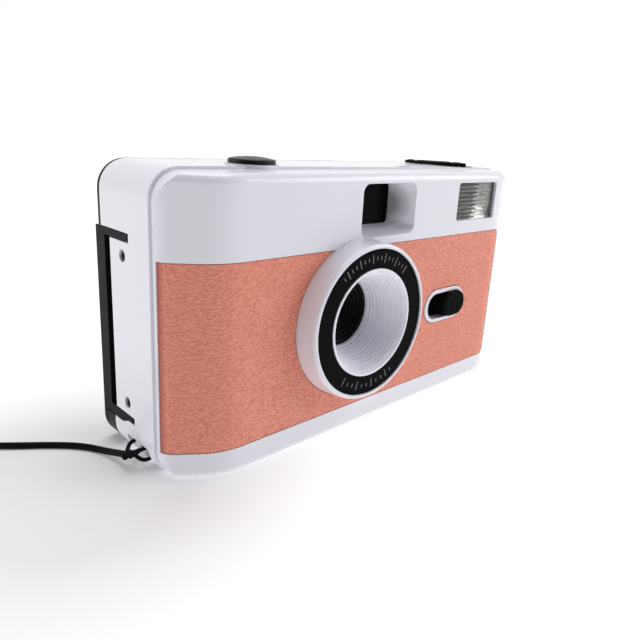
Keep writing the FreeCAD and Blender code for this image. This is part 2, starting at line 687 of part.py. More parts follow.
def lens_cell():
    """The black cell that holds the lens, stepped down in front like a bull's eye."""
    front = FUNNEL_END_DEPTH + 0.05
    lens_front = front + CELL_DEPTH
    rear = SHUTTER_PLATE_DEPTH - 0.05
    profile = [(FUNNEL_END_RADIUS + 1.0, front), (FUNNEL_END_RADIUS + 1.0, rear - 1.05)]
    profile += [(FUNNEL_END_RADIUS + 5.6, rear - 1.05), (FUNNEL_END_RADIUS + 5.6, rear)]
    profile += [(APERTURE_RADIUS + 0.8, rear), (APERTURE_RADIUS + 0.8, rear - 0.3)]
    profile += [(LENS_RADIUS + 0.05, rear - 0.3), (LENS_RADIUS + 0.05, lens_front)]
    inner = LENS_RADIUS - 0.5
    shrink = (FUNNEL_END_RADIUS - inner) / CELL_STEPS
    rise = CELL_DEPTH / CELL_STEPS
    for step in range(CELL_STEPS):
        radius = inner + step * shrink
        depth = lens_front - step * rise
        profile.append((radius, depth))
        profile.append((radius, depth - rise))
    profile[-1] = (inner + (CELL_STEPS - 1) * shrink, front)
    return turned(profile, LENS_X, LENS_Z)


def front_lens():
    front = FUNNEL_END_DEPTH + CELL_DEPTH + 0.1
    blank = cylinder_y(LENS_X, LENS_Z, front, front + LENS_THICKNESS, LENS_RADIUS)
    curve = 7.5
    dome = Part.makeSphere(curve, Vector(LENS_X, front - 0.35 + curve, LENS_Z))
    return blank.common(dome)


def shutter_plate():
    y0 = SHUTTER_PLATE_DEPTH
    y1 = y0 + SHUTTER_PLATE_THICKNESS
    plate = rounded_prism(LENS_X - 15.6, LENS_X + 15.6, LENS_Z - 14.8, LENS_Z + 14.8, 3, y0, y1)
    pin = cylinder_y(blade_pivot()[0], blade_pivot()[1], y1 - 0.2, y1 + 1.0, 0.6)
    return join([plate, pin]).cut(cylinder_y(LENS_X, LENS_Z, y0 - 1, y1 + 1, APERTURE_RADIUS))


def blade_pivot():
    return LENS_X + BLADE_PIVOT_OUT, LENS_Z + BLADE_PIVOT_UP


def shutter_blade():
    y0 = SHUTTER_PLATE_DEPTH + SHUTTER_PLATE_THICKNESS + 0.2
    y1 = y0 + BLADE_THICKNESS
    x, z = blade_pivot()
    blade = join(
        [
            cylinder_y(LENS_X, LENS_Z, y0, y1, BLADE_RADIUS),
            bar_xz((LENS_X, LENS_Z), (x, z), 2.6, y0, y1),
            bar_xz((x, z), (x + 3.4, z + 2.0), 1.6, y0, y1),
            cylinder_y(x, z, y0, y1, 1.7),
        ]
    )
    return blade.cut(cylinder_y(x, z, y0 - 1, y1 + 1, 0.6 + RUNNING_GAP))


def shutter_spring():
    """A small spring round the blade's pin."""
    y0 = SHUTTER_PLATE_DEPTH + SHUTTER_PLATE_THICKNESS + 0.2 + BLADE_THICKNESS + 0.05
    x, z = blade_pivot()
    coil = cylinder_y(x, z, y0, y0 + 0.4, 1.1)
    return coil.cut(cylinder_y(x, z, y0 - 1, y0 + 1, 0.65))


def shutter_guard():
    """The plate that keeps the blade in, on two spacers."""
    y0 = SHUTTER_PLATE_DEPTH + SHUTTER_PLATE_THICKNESS + 1.1
    y1 = y0 + 0.6
    plate = rounded_prism(LENS_X - 9.5, LENS_X + 13.5, LENS_Z - 9.5, LENS_Z + 9.9, 2, y0, y1)
    plate = plate.cut(cylinder_y(LENS_X, LENS_Z, y0 - 1, y1 + 1, APERTURE_RADIUS + 0.9))
    spacers = []
    for dx in (-7.6, 11.6):
        spacers.append(cylinder_y(LENS_X + dx, LENS_Z - 7.6, y0 - 1.05, y0 + 0.3, 1.2))
    return join([plate] + spacers)


def release_lever():
    y0 = LEVER_DEPTH
    y1 = y0 + LEVER_THICKNESS
    pivot = (LEVER_PIVOT_X, LEVER_PIVOT_Z)
    pad = box(BUTTON_X - 0.8, BUTTON_X + 1.7, y0, y1, lever_pad_top() - 1.0, lever_pad_top())
    arm = bar_xz(pivot, (BUTTON_X + 0.8, lever_pad_top() - 0.8), 1.6, y0, y1)
    kicker = bar_xz(pivot, (LENS_X - 5.6, LENS_Z + 11.7), 1.6, y0, y1)
    hub = cylinder_y(pivot[0], pivot[1], y0, y1, 1.8)
    lever = join([pad, arm, kicker, hub])
    return lever.cut(cylinder_y(pivot[0], pivot[1], y0 - 1, y1 + 1, 0.7 + RUNNING_GAP))


def lever_pad_top():
    return button_stem_low() - MOVING_GAP


def button_stem_low():
    return TOP_INSIDE - 3.7


def shutter_button():
    """The domed button, its hollow for the spring and its stem."""
    top = CASE_HEIGHT + COLLAR_RISE + BUTTON_RISE
    low = TOP_INSIDE - 1.7 + BUTTON_TRAVEL + 0.3
    head = cylinder_z(BUTTON_X, BUTTON_DEPTH, low, top, BUTTON_RADIUS)
    curve = (BUTTON_RADIUS**2 + BUTTON_DOME**2) / (2 * BUTTON_DOME)
    ball = Part.makeSphere(curve, Vector(BUTTON_X, BUTTON_DEPTH, top + BUTTON_DOME - curve))
    cap = ball.common(cylinder_z(BUTTON_X, BUTTON_DEPTH, top - 0.01, top + 2, BUTTON_RADIUS))
    head = join([head, cap])
    rim = [e for e in head.Edges if abs(e.BoundBox.ZMin - top) < 0.05 and e.BoundBox.XLength > BUTTON_RADIUS]
    head = head.makeFillet(0.45, rim)
    hollow = cylinder_z(BUTTON_X, BUTTON_DEPTH, low - 1, low + 1.4, 3.6)
    stem = cylinder_z(BUTTON_X, BUTTON_DEPTH, button_stem_low(), low + 1.5, BUTTON_STEM_RADIUS)
    return join([head.cut(hollow), stem])


def ring_z(x, y, z0, z1, outer, inner):
    return cylinder_z(x, y, z0, z1, outer).cut(cylinder_z(x, y, z0 - 1, z1 + 1, inner))


def button_spring():
    floor = TOP_INSIDE - 1.7
    return ring_z(BUTTON_X, BUTTON_DEPTH, floor + 0.05, floor + BUTTON_TRAVEL + 1.6, 3.3, 2.5)


def finder_window():
    x0, x1 = FINDER_INNER_LEFT, FINDER_INNER_RIGHT
    z0, z1 = FINDER_INNER_LOW, FINDER_INNER_HIGH
    y0 = FINDER_DEPTH + 0.05
    grow = FINDER_WALL - 0.1
    return rounded_prism(x0 - grow, x1 + grow, z0 - grow, z1 + grow, 1.2, y0, y0 + FINDER_GLASS)


def finder_tube_outline(wall, radius, y0, y1):
    x0, x1 = FINDER_INNER_LEFT, FINDER_INNER_RIGHT
    z0, z1 = FINDER_INNER_LOW, FINDER_INNER_HIGH
    return rounded_prism(x0 - wall, x1 + wall, z0 - wall, z1 + wall, radius, y0, y1)


def finder_tube():
    """The black tube from the front window to the eyepiece."""
    y0 = FINDER_DEPTH + FINDER_GLASS + 0.1
    y1 = COVER_REAR - 0.05
    tube = finder_tube_outline(FINDER_TUBE_WALL, 1.2, y0, y1)
    return tube.cut(finder_tube_outline(0, 0.6, y0 - 1, y1 + 1))


def eyepiece_outline(grow, y0, y1):
    x0, x1 = FINDER_INNER_LEFT + 1.2, FINDER_INNER_RIGHT - 1.2
    z0, z1 = STRIP_LOW + 2.2, FINDER_INNER_HIGH - 0.9
    return rounded_prism(x0 - grow, x1 + grow, z0 - grow, z1 + grow, 1.0 + grow, y0, y1)


def eyepiece():
    return eyepiece_outline(-0.08, COVER_REAR + 0.1, STRIP_REAR + 0.7)


def flash_window():
    """The clear flash window, with ribs across its back."""
    y0 = FLASH_WINDOW_DEPTH
    y1 = y0 + FLASH_WINDOW_THICKNESS
    gap = FIT_GAP
    plate = rounded_prism(
        FLASH_LEFT + gap, FLASH_RIGHT - gap, FLASH_LOW + gap, FLASH_HIGH - gap, FLASH_CORNER - 0.1, y0, y1
    )
    pitch = (FLASH_HIGH - FLASH_LOW - 2 * gap) / FLASH_RIBS
    for i in range(1, FLASH_RIBS):
        z = FLASH_LOW + gap + i * pitch
        plate = plate.cut(cylinder_x(y0 - 0.12, z, FLASH_LEFT + 0.6, FLASH_RIGHT - 0.6, 0.3))
    return plate


def reflector_shape(grow):
    """The reflector's hollow, or its outside when grown: a bright dish that narrows towards the tube."""
    y0 = WALL + 0.05
    step = y0 + 0.75
    y1 = y0 + REFLECTOR_DEPTH
    top = FLASH_HIGH + grow
    low = FLASH_LOW - grow
    shoulder = SHELF_TOP + REFLECTOR_WALL + 0.35 - grow
    outline = [
        (y0 - (0.02 if grow == 0 else 0), low),
        (step, shoulder),
        (y1 + grow, shoulder + 0.5),
        (y1 + grow, top - 2.4),
        (y0 - (0.02 if grow == 0 else 0), top),
    ]
    points = [Vector(FLASH_LEFT - grow, y, z) for y, z in outline]
    return polygon_prism(points, Vector(FLASH_RIGHT - FLASH_LEFT + 2 * grow, 0, 0))


def flash_reflector():
    dish = reflector_shape(REFLECTOR_WALL).cut(reflector_shape(0))
    for x in (FLASH_LEFT, FLASH_RIGHT):
        dish = dish.cut(cylinder_x(tube_centre()[0], tube_centre()[1], x - 1, x + 1, TUBE_RADIUS + 0.1))
    return dish


def tube_centre():
    return FLASH_WINDOW_DEPTH + FLASH_WINDOW_THICKNESS + 4.4, (FLASH_HIGH + SHELF_TOP) / 2


def flash_tube():
    y, z = tube_centre()
    return cylinder_x(y, z, FLASH_LEFT - 1.2, FLASH_RIGHT + 1.2, TUBE_RADIUS)


def switch_bezel():
    proud = -SWITCH_PROUD
    ring = switch_outline(-0.08, proud, WALL + 0.1)
    edges = [e for e in ring.Edges if abs(e.BoundBox.YMax - proud) < 0.01]
    ring = ring.makeFillet(0.3, edges)
    flange = switch_outline(1.0, WALL + 0.05, WALL + 0.7)
    return join([ring, flange]).cut(switch_outline(-SWITCH_RIM, -2, 4))


def switch_base():
    y0 = SWITCH_FLOOR_DEPTH
    return switch_outline(1.0, y0, y0 + 0.8)


def switch_knob():
    """The ribbed black knob, at the right end of its opening."""
    x1 = SWITCH_RIGHT - SWITCH_RIM - 0.15
    x0 = x1 - KNOB_LENGTH
    z0 = SWITCH_LOW + SWITCH_RIM + 0.12
    z1 = SWITCH_HIGH - SWITCH_RIM - 0.12
    radius = (z1 - z0) / 2 - 0.02
    front = -KNOB_PROUD
    knob = rounded_prism(x0, x1, z0, z1, radius, front, SWITCH_FLOOR_DEPTH - 0.1)
    edges = [e for e in knob.Edges if abs(e.BoundBox.YMax - front) < 0.01]
    knob = knob.makeFillet(0.6, edges)
    pitch = (KNOB_LENGTH - 1.6) / KNOB_RIBS
    for i in range(KNOB_RIBS):
        x = x0 + 0.8 + (i + 0.5) * pitch
        knob = knob.cut(box(x - pitch * 0.22, x + pitch * 0.22, front - 1, front + 0.55, z0 - 1, z1 + 1))
    return knob


def gate_tunnel(grow, y0, y1):
    """The light box between shutter and film gate, straight-sided from small to large."""
    start = SHUTTER_PLATE_DEPTH + 4.0
    share0 = (y0 - start) / (PLATE_REAR - start)
    share1 = (y1 - start) / (PLATE_REAR - start)
    sections = []
    for share, y in ((share0, y0), (share1, y1)):
        half_x = 7.0 + (GATE_WIDTH / 2 - 7.0) * share + grow
        half_z = 5.0 + (GATE_HEIGHT / 2 - 5.0) * share + grow
        points = [(-half_x, -half_z), (half_x, -half_z), (half_x, half_z), (-half_x, half_z)]
        loop = [Vector(LENS_X + x, y, LENS_Z + z) for x, z in points]
        sections.append(Part.makePolygon(loop + [loop[0]]))
    return Part.makeLoft(sections, True, True)


def chassis():
    """The black film body: plate, rails, film chambers, light box, shelves and the strip above the door."""
    gap = 0.15
    low = WALL + 0.2
    plate = case_section(WALL + gap, PLATE_FRONT, PLATE_REAR)
    plate = plate.common(box(-HALF_WIDTH, HALF_WIDTH, 0, CASE_DEPTH, low, SHELF_TOP))
    side = HALF_WIDTH - WALL - gap
    left_wall = box(-side, -side + 0.9, SIDE_SCREW_DEPTH + 2.2, PLATE_FRONT, ARM_LOWER_HIGH, SHELF_TOP)
    strip = case_section(0, COVER_REAR + 0.05, STRIP_REAR)
    strip = strip.common(box(-HALF_WIDTH, HALF_WIDTH, 0, CASE_DEPTH, STRIP_LOW, CASE_HEIGHT))
    shelf_front = BOARD_DEPTH + BOARD_THICKNESS + 0.2
    within = case_section(WALL + gap, shelf_front, COVER_REAR + 0.05)
    upper = box(-side, side, shelf_front, COVER_REAR + 0.05, CHAMBER_HIGH, SHELF_TOP)
    lower = box(-HALF_WIDTH + 27, side, shelf_front, PLATE_REAR, CASSETTE_LOW - SHELF_THICKNESS, CASSETTE_LOW)
    lower = lower.common(within)
    outer = CHAMBER_RADIUS + CHAMBER_WALL
    forward = box(-HALF_WIDTH, HALF_WIDTH, 0, PLATE_REAR, 0, CASE_HEIGHT)
    can = cylinder_z(CASSETTE_X, CASSETTE_DEPTH, CASSETTE_LOW - SHELF_THICKNESS, SHELF_TOP, outer)
    can = can.common(forward).common(case_section(WALL + gap, 0, CASE_DEPTH))
    wound = TAKEUP_RADIUS + CHAMBER_WALL
    pack = cylinder_z(TAKEUP_X, TAKEUP_DEPTH, TAKEUP_LOW - SHELF_THICKNESS, SHELF_TOP, wound)
    pack = pack.common(forward)
    tunnel = gate_tunnel(1.0, SHUTTER_PLATE_DEPTH + 4.0, PLATE_REAR)
    flange_front = SHUTTER_PLATE_DEPTH + 4.0
    flange = rounded_prism(
        LENS_X - 14.6, LENS_X + 14.6, LENS_Z - 13.8, LENS_Z + 13.8, 2, flange_front, flange_front + 1.0
    )
    tongue = box(
        LEVER_PIVOT_X - 3, LEVER_PIVOT_X + 5, flange_front, flange_front + 1.0, LENS_Z + 12, LEVER_PIVOT_Z + 3
    )
    pivot = cylinder_y(LEVER_PIVOT_X, LEVER_PIVOT_Z, LEVER_DEPTH - 0.3, flange_front + 0.5, 0.7)
    posts = []
    for dx in (-12.6, 12.6):
        for dz in (-11.8, 11.8):
            posts.append(
                cylinder_y(LENS_X + dx, LENS_Z + dz, SHUTTER_PLATE_DEPTH + 1.05, flange_front + 0.5, 1.5)
            )
    bosses = []
    for z in SIDE_SCREW_HEIGHTS:
        bosses.append(cylinder_x(SIDE_SCREW_DEPTH, z, -side, TAKEUP_X - TAKEUP_RADIUS + 0.5, 2.0))
    for x in BASE_SCREW_XS:
        bosses.append(cylinder_z(x, BASE_SCREW_DEPTH, low, CASSETTE_LOW - 0.2, 2.2))
    rails = []
    x0, x1, root = LENS_X - 21, LENS_X + 19.2, PLATE_REAR - 0.2
    for dz in (-1, 1):
        middle = LENS_Z + dz * (GATE_HEIGHT / 2 + 1.3)
        rails.append(box(x0, x1, root, RAIL_DEPTH, middle - 0.8, middle + 0.8))
        outside = LENS_Z + dz * (FILM_WIDTH / 2 + 0.9)
        rails.append(box(x0, x1, root, RAIL_DEPTH + 0.3, outside - 0.7, outside + 0.7))
    eye_rim = eyepiece_outline(1.0, STRIP_REAR - 0.3, STRIP_REAR + 1.2)
    ledge = case_section(WALL + gap, PLATE_FRONT, COVER_REAR + 0.2)
    ledge = ledge.common(box(-HALF_WIDTH, HALF_WIDTH, 0, CASE_DEPTH, low, BASE_STRIP_TOP))
    whole = [plate, left_wall, strip, upper, lower, can, pack, tunnel, flange, tongue, pivot, eye_rim]
    whole += [ledge, base_strip(), corner_tongue()]
    body = join(whole + posts + bosses + rails)
    cuts = [
        cylinder_z(CASSETTE_X, CASSETTE_DEPTH, CASSETTE_LOW, CHAMBER_HIGH, CHAMBER_RADIUS),
        cylinder_z(CASSETTE_X, CASSETTE_DEPTH, CASSETTE_LOW - 2, CASSETTE_LOW + 1, 7.0),
        box(
            CASSETTE_X - CHAMBER_RADIUS + 1.5,
            CASSETTE_X + CHAMBER_RADIUS - 4.0,
            CASSETTE_DEPTH,
            CASE_DEPTH,
            CASSETTE_LOW,
            CHAMBER_HIGH,
        ),
        cylinder_z(TAKEUP_X, TAKEUP_DEPTH, TAKEUP_LOW, CHAMBER_HIGH, TAKEUP_RADIUS),
        box(
            TAKEUP_X - TAKEUP_RADIUS + 1.5,
            TAKEUP_X + TAKEUP_RADIUS,
            TAKEUP_DEPTH,
            CASE_DEPTH,
            TAKEUP_LOW,
            CHAMBER_HIGH,
        ),
        gate_tunnel(0, flange_front - 1, PLATE_REAR + 1),
        cylinder_z(SPROCKET_X, SPROCKET_DEPTH, 0, CASE_HEIGHT, SHAFT_RADIUS + RUNNING_GAP),
        box(
            SPROCKET_X - SPROCKET_RADIUS - 1.5,
            SPROCKET_X + SPROCKET_RADIUS + 1.5,
            SPROCKET_DEPTH - SPROCKET_RADIUS - 1.6,
            CASE_DEPTH,
            CASSETTE_LOW,
            CHAMBER_HIGH,
        ),
        cylinder_z(TAKEUP_X, TAKEUP_DEPTH, TAKEUP_LOW - 2, CASE_HEIGHT, 2.0 + RUNNING_GAP),
        box(
            TAKEUP_X - WHEEL_RADIUS + 1.2,
            TAKEUP_X + WHEEL_RADIUS - 1.2,
            COVER_REAR - 0.5,
            CASE_DEPTH,
            WHEEL_LOW - 0.4,
            WHEEL_LOW + WHEEL_THICKNESS + 0.4,
        ),
        cylinder_z(CASSETTE_X, CASSETTE_DEPTH, CHAMBER_HIGH - 1, CASE_HEIGHT, REWIND_SHAFT_RADIUS + RUNNING_GAP),
        finder_tube_outline(FINDER_TUBE_WALL + FIT_GAP, 1.3, FINDER_DEPTH, COVER_REAR),
        eyepiece_outline(0, COVER_REAR - 1, CASE_DEPTH),
        cylinder_y(LAMP_X, LAMP_Z, COVER_REAR - 1, CASE_DEPTH, LAMP_RADIUS + 0.05),
        latch_notch(),
    ]
    shank = SCREW_SHANK_RADIUS + 0.05
    for z in SIDE_SCREW_HEIGHTS:
        cuts.append(cylinder_x(SIDE_SCREW_DEPTH, z, -HALF_WIDTH, TAKEUP_X - TAKEUP_RADIUS - 0.3, shank))
    for x in BASE_SCREW_XS:
        cuts.append(cylinder_z(x, BASE_SCREW_DEPTH, 0, CASSETTE_LOW - 0.9, shank))
    for x in (-REAR_SCREW_X, REAR_SCREW_X):
        cuts.append(cylinder_y(x, REAR_SCREW_Z, COVER_REAR - 1, CASE_DEPTH, shank))
        cuts.append(cylinder_y(x, REAR_SCREW_Z, STRIP_REAR - 0.5, CASE_DEPTH, SCREW_HEAD_RADIUS + 0.4))
    for cut in cuts:
        body = body.cut(cut)
    return body.removeSplitter()


def base_strip():
    """The low strip under the door, flush with it, which keeps the door clear of the table."""
    strip = case_section(0, COVER_REAR + 0.05, CASE_DEPTH)
    strip = strip.common(box(-HALF_WIDTH, HALF_WIDTH, 0, CASE_DEPTH, 0, BASE_STRIP_TOP))
    rear = [e for e in strip.Edges if e.BoundBox.YMin > CASE_DEPTH - 0.01]
    edges = [e for e in rear if e.BoundBox.ZMin < BASE_STRIP_TOP - 0.01]
    return strip.makeFillet(DOOR_EDGE_ROUND, edges)


def corner_tongue():
    """The black tongue that runs down the lower left corner, under the door's lower arm."""
    tongue = case_section(0, TONGUE_FRONT, TONGUE_REAR).cut(case_section(DOOR_SIDE, 0, CASE_DEPTH))
    return tongue.common(box(-HALF_WIDTH - 1, DOOR_STEP_X, 0, CASE_DEPTH, -1, TONGUE_TOP))


def latch_notch():
    """The room for the latch bar beside the cassette chamber."""
    notch = box(CASSETTE_X + 9.4, HALF_WIDTH, SIDE_SCREW_DEPTH + 1, CASE_DEPTH, LATCH_LOW - 12, LATCH_HIGH + 6)
    return notch.cut(cylinder_z(CASSETTE_X, CASSETTE_DEPTH, 0, CASE_HEIGHT, CHAMBER_RADIUS + CHAMBER_WALL))


def back_door():
    """The black door: back plate, rim, side bar and the two hinge arms."""
    below = box(-HALF_WIDTH - 1, HALF_WIDTH + 1, 0, CASE_DEPTH + 1, DOOR_LOW, DOOR_TOP)
    slab = case_section(0, DOOR_FRONT, CASE_DEPTH).common(below)
    rear = [e for e in slab.Edges if e.BoundBox.YMin > CASE_DEPTH - 0.01]
    edges = [e for e in rear if e.BoundBox.ZMax > DOOR_LOW + 0.01]
    slab = slab.makeFillet(DOOR_EDGE_ROUND, edges)
    rim = case_section(0, DOOR_RIM_FRONT, DOOR_FRONT + 0.3).cut(case_section(DOOR_RIM, 0, CASE_DEPTH))
    low_rim = box(-HALF_WIDTH, HALF_WIDTH, DOOR_RIM_FRONT, DOOR_FRONT + 0.3, DOOR_LOW, DOOR_LOW + DOOR_RIM)
    rim = join([rim, low_rim.common(case_section(0, 0, CASE_DEPTH))]).common(below)
    rim = rim.cut(box(-HALF_WIDTH - 1, DOOR_STEP_X + 0.4, 0, TONGUE_REAR + 0.1, 0, ARM_LOWER_LOW))
    x0, x1 = -HALF_WIDTH, -HALF_WIDTH + DOOR_SIDE
    bar = box(x0, x1, DOOR_BAR_FRONT, DOOR_FRONT + 0.3, ARM_LOWER_LOW + 1, DOOR_TOP)
    arms = []
    for low, high in ((ARM_LOWER_LOW, ARM_LOWER_HIGH), (DOOR_TOP - ARM_UPPER, DOOR_TOP)):
        arm = box(x0, x1, ARM_FRONT, DOOR_FRONT + 0.3, low, high)
        reach = HINGE_DEPTH - ARM_FRONT + 0.3
        round_end = cylinder_z(HINGE_X, HINGE_DEPTH, low, high, reach)
        straight = box(x0, x1, HINGE_DEPTH, CASE_DEPTH, low, high)
        arms.append(arm.common(join([round_end, straight])).cut(below_arm(0)))
    tip, z0, z1 = PLATE_FRONT - 0.2, LATCH_LOW + 2.5, LATCH_HIGH - 2.5
    catch = box(HALF_WIDTH - 5.4, HALF_WIDTH - 4.2, tip, DOOR_FRONT + 0.3, z0, z1)
    nose = box(HALF_WIDTH - 4.3, HALF_WIDTH - 3.8, tip, tip + 1.0, z0, z1)
    grip = []
    for i in range(7):
        x = -HALF_WIDTH + 7 + 2.4 * i
        grip.append(cylinder_z(x, CASE_DEPTH + 0.28, 12, 40, 0.75))
    door = join([slab, rim, bar, catch, nose] + arms)
    side, low, high = HALF_WIDTH - 4, DOOR_LOW + 3, DOOR_TOP - 4
    panel = rounded_prism(-side, side, low, high, 5, CASE_DEPTH - 0.3, CASE_DEPTH + 1)
    panel = panel.cut(rounded_prism(-side + 0.6, side - 0.6, low + 0.6, high - 0.6, 4.4, 0, CASE_DEPTH + 2))
    door = door.cut(panel)
    for cut in grip:
        door = door.cut(cut)
    for low, high in ((ARM_LOWER_LOW, ARM_LOWER_HIGH), (DOOR_TOP - ARM_UPPER, DOOR_TOP)):
        door = door.cut(cylinder_z(HINGE_X, HINGE_DEPTH, low - 0.1, high + 0.1, HINGE_PIN_RADIUS + RUNNING_GAP))
    return door.removeSplitter()


def pressure_plate():
    y0 = RAIL_DEPTH + 0.4
    plate = rounded_prism(LENS_X - 20, LENS_X + 18.5, LENS_Z - 15.8, LENS_Z + 15.8, 1.5, y0, y0 + 0.6)
    for dz in (-10.5, 10.5):
        plate = plate.cut(cylinder_y(LENS_X - 16, LENS_Z + dz, y0 - 1, y0 + 1, 1.0))
    return plate


def pressure_spring():
    """A bowed leaf between the door and the plate."""
    y0 = RAIL_DEPTH + 1.05
    y1 = DOOR_FRONT - 0.05
    thick = 0.2
    outline = [(-13, y1), (-11, y1), (-3, y0 + thick), (3, y0 + thick), (11, y1), (13, y1)]
    under = y1 - thick
    outline += [(13, under), (11.1, under), (3, y0), (-3, y0), (-11.1, under), (-13, under)]
    points = [Vector(LENS_X + x, y, LENS_Z - 4) for x, y in outline]
    return polygon_prism(points, Vector(0, 0, 8))


def light_seal():
    x0 = -HALF_WIDTH + WALL + 0.35
    low, high = ARM_LOWER_HIGH + 1, DOOR_TOP - ARM_UPPER - 1
    return box(x0, x0 + 1.0, PLATE_REAR + 0.02, DOOR_FRONT - 0.1, low, high)


def latch_knob():
    """The ribbed slide on the right side, its stem and the bar inside with its hook."""
    face = HALF_WIDTH - 0.15
    floor = HALF_WIDTH - 1.1
    knob = rounded_prism_x(LATCH_FRONT, LATCH_REAR, LATCH_LOW, LATCH_HIGH, 1.2, floor, face)
    for i in range(6):
        z = LATCH_LOW + 2.0 + 1.2 * i
        knob = knob.cut(box(face - 0.35, face + 1, LATCH_FRONT + 0.8, LATCH_REAR - 0.8, z - 0.25, z + 0.25))
    middle = (LATCH_FRONT + LATCH_REAR) / 2
    stem = box(HALF_WIDTH - WALL - 0.5, floor + 0.1, middle - 1.1, middle + 1.1, LATCH_LOW + 2.7, LATCH_HIGH - 2.7)
    outer = HALF_WIDTH - WALL - 0.2
    bar = box(outer - 1.0, outer, middle - 1.2, PLATE_REAR + 0.2, LATCH_LOW - 3, LATCH_HIGH + 1)
    hook = box(outer - 1.5, outer - 0.9, PLATE_REAR - 0.4, PLATE_REAR + 0.2, LATCH_LOW + 2.5, LATCH_HIGH - 2.5)
    return join([knob, stem, bar, hook])


def latch_spring():
    middle = (LATCH_FRONT + LATCH_REAR) / 2 + 1.2
    outer = HALF_WIDTH - WALL - 0.7
    return ring_z(outer, middle, LATCH_LOW - 3 - LATCH_TRAVEL - 3.5, LATCH_LOW - 3.05, 0.5, 0.28)


def spring_seat():
    """A ledge inside the right wall, under the latch spring."""
    middle = (LATCH_FRONT + LATCH_REAR) / 2 + 1.2
    top = LATCH_LOW - 3 - LATCH_TRAVEL - 3.55
    return box(HALF_WIDTH - WALL - 1.4, HALF_WIDTH - WALL + 0.2, middle - 1, middle + 1, top - 1, top)


def battery():
    """One small round cell, plain, with its raised end on top."""
    top = BATTERY_LOW + BATTERY_LENGTH
    body = cylinder_z(BATTERY_X, BATTERY_DEPTH, BATTERY_LOW, top - 1.0, BATTERY_RADIUS)
    ends = [e for e in body.Edges if e.BoundBox.ZLength < 0.01]
    body = body.makeFillet(0.4, ends)
    tip = cylinder_z(BATTERY_X, BATTERY_DEPTH, top - 1.2, top, 1.9)
    return join([body, tip])


def top_contact():
    z0 = BATTERY_LOW + BATTERY_LENGTH + 0.1
    plate = box(BATTERY_X - 3, BATTERY_X + 3, BATTERY_DEPTH - 3, BOARD_DEPTH - 0.05, z0, z0 + 0.4)
    tab = box(BATTERY_X - 3, BATTERY_X + 3, BOARD_DEPTH - 0.45, BOARD_DEPTH - 0.05, z0, z0 + 3)
    return join([plate, tab])


def battery_door():
    low = FRONT_STEP_INSET + 0.05
    front, rear, top = BATTERY_DOOR_FRONT, BATTERY_DOOR_REAR, BATTERY_DOOR_TOP
    plate = box(BATTERY_DOOR_LEFT, BATTERY_DOOR_RIGHT, front, rear, low, top)
    x, y, half = BATTERY_X, BATTERY_DEPTH, 3.05
    plate = plate.cut(box(x - half, x + half, y - half, y + half, top - 0.3, top + 1))
    for i in range(4):
        x = BATTERY_DOOR_LEFT + 1.4 + 1.1 * i
        plate = plate.cut(box(x, x + 0.5, front + 3, rear - 3, low - 1, low + 0.25))
    return plate


def door_contact():
    x, y, z = BATTERY_X, BATTERY_DEPTH, BATTERY_DOOR_TOP
    return box(x - 3, x + 3, y - 3, y + 3, z - 0.28, z - 0.02)


def capacitor():
    can = cylinder_z(CAPACITOR_X, CAPACITOR_DEPTH, 9, 9 + CAPACITOR_LENGTH, CAPACITOR_RADIUS)
    ends = [e for e in can.Edges if e.BoundBox.ZLength < 0.01]
    return can.makeFillet(0.5, ends)


def circuit_board():
    rear = BOARD_DEPTH + BOARD_THICKNESS
    board = box(BOARD_LEFT, BOARD_RIGHT, BOARD_DEPTH, rear, CASSETTE_LOW + 0.3, CHAMBER_HIGH - 2)
    for x, z in ((BOARD_LEFT + 2, 12), (BOARD_RIGHT - 2, 46)):
        board = board.cut(cylinder_y(x, z, BOARD_DEPTH - 1, BOARD_DEPTH + 2, 0.9))
    return board


def toothed_disc(x, y, z0, z1, radius, teeth, depth):
    """A disc with round-bottomed notches, so that a finger or a pinion grips its rim."""
    disc = cylinder_z(x, y, z0, z1, radius)
    notch = math.pi * radius / teeth / 2
    cutters = []
    for i in range(teeth):
        angle = 2 * math.pi * i / teeth
        cx = x + (radius + notch - depth) * math.cos(angle)
        cy = y + (radius + notch - depth) * math.sin(angle)
        cutters.append(cylinder_z(cx, cy, z0 - 1, z1 + 1, notch))
    return disc.cut(Part.makeCompound(cutters))


def thumb_wheel():
    top = WHEEL_LOW + WHEEL_THICKNESS
    wheel = toothed_disc(TAKEUP_X, TAKEUP_DEPTH, WHEEL_LOW, top, WHEEL_RADIUS, WHEEL_TEETH, 0.4)
    hub = cylinder_z(TAKEUP_X, TAKEUP_DEPTH, SHELF_TOP + 0.2, WHEEL_LOW + 0.1, 4.0)
    socket = cylinder_z(TAKEUP_X, TAKEUP_DEPTH, SHELF_TOP - 1, top - 1, 2.0)
    return join([wheel, hub]).cut(socket)


def takeup_spool():
    """The slotted spool that winds the film, with its shaft through floor and shelf."""
    core = cylinder_z(TAKEUP_X, TAKEUP_DEPTH, TAKEUP_LOW + 0.3, CHAMBER_HIGH - 0.3, SPOOL_RADIUS)
    for i in range(SPOOL_SLOTS):
        slot = box(3.0, SPOOL_RADIUS + 1, -0.8, 0.8, LENS_Z - 14, LENS_Z + 14)
        slot.rotate(Vector(0, 0, 0), Vector(0, 0, 1), 360 * i / SPOOL_SLOTS)
        slot.translate(Vector(TAKEUP_X, TAKEUP_DEPTH, 0))
        core = core.cut(slot)
    low = TAKEUP_LOW - SHELF_THICKNESS + 0.1
    shaft = cylinder_z(TAKEUP_X, TAKEUP_DEPTH, low, WHEEL_LOW + WHEEL_THICKNESS - 1.05, 1.98)
    return join([core, shaft])


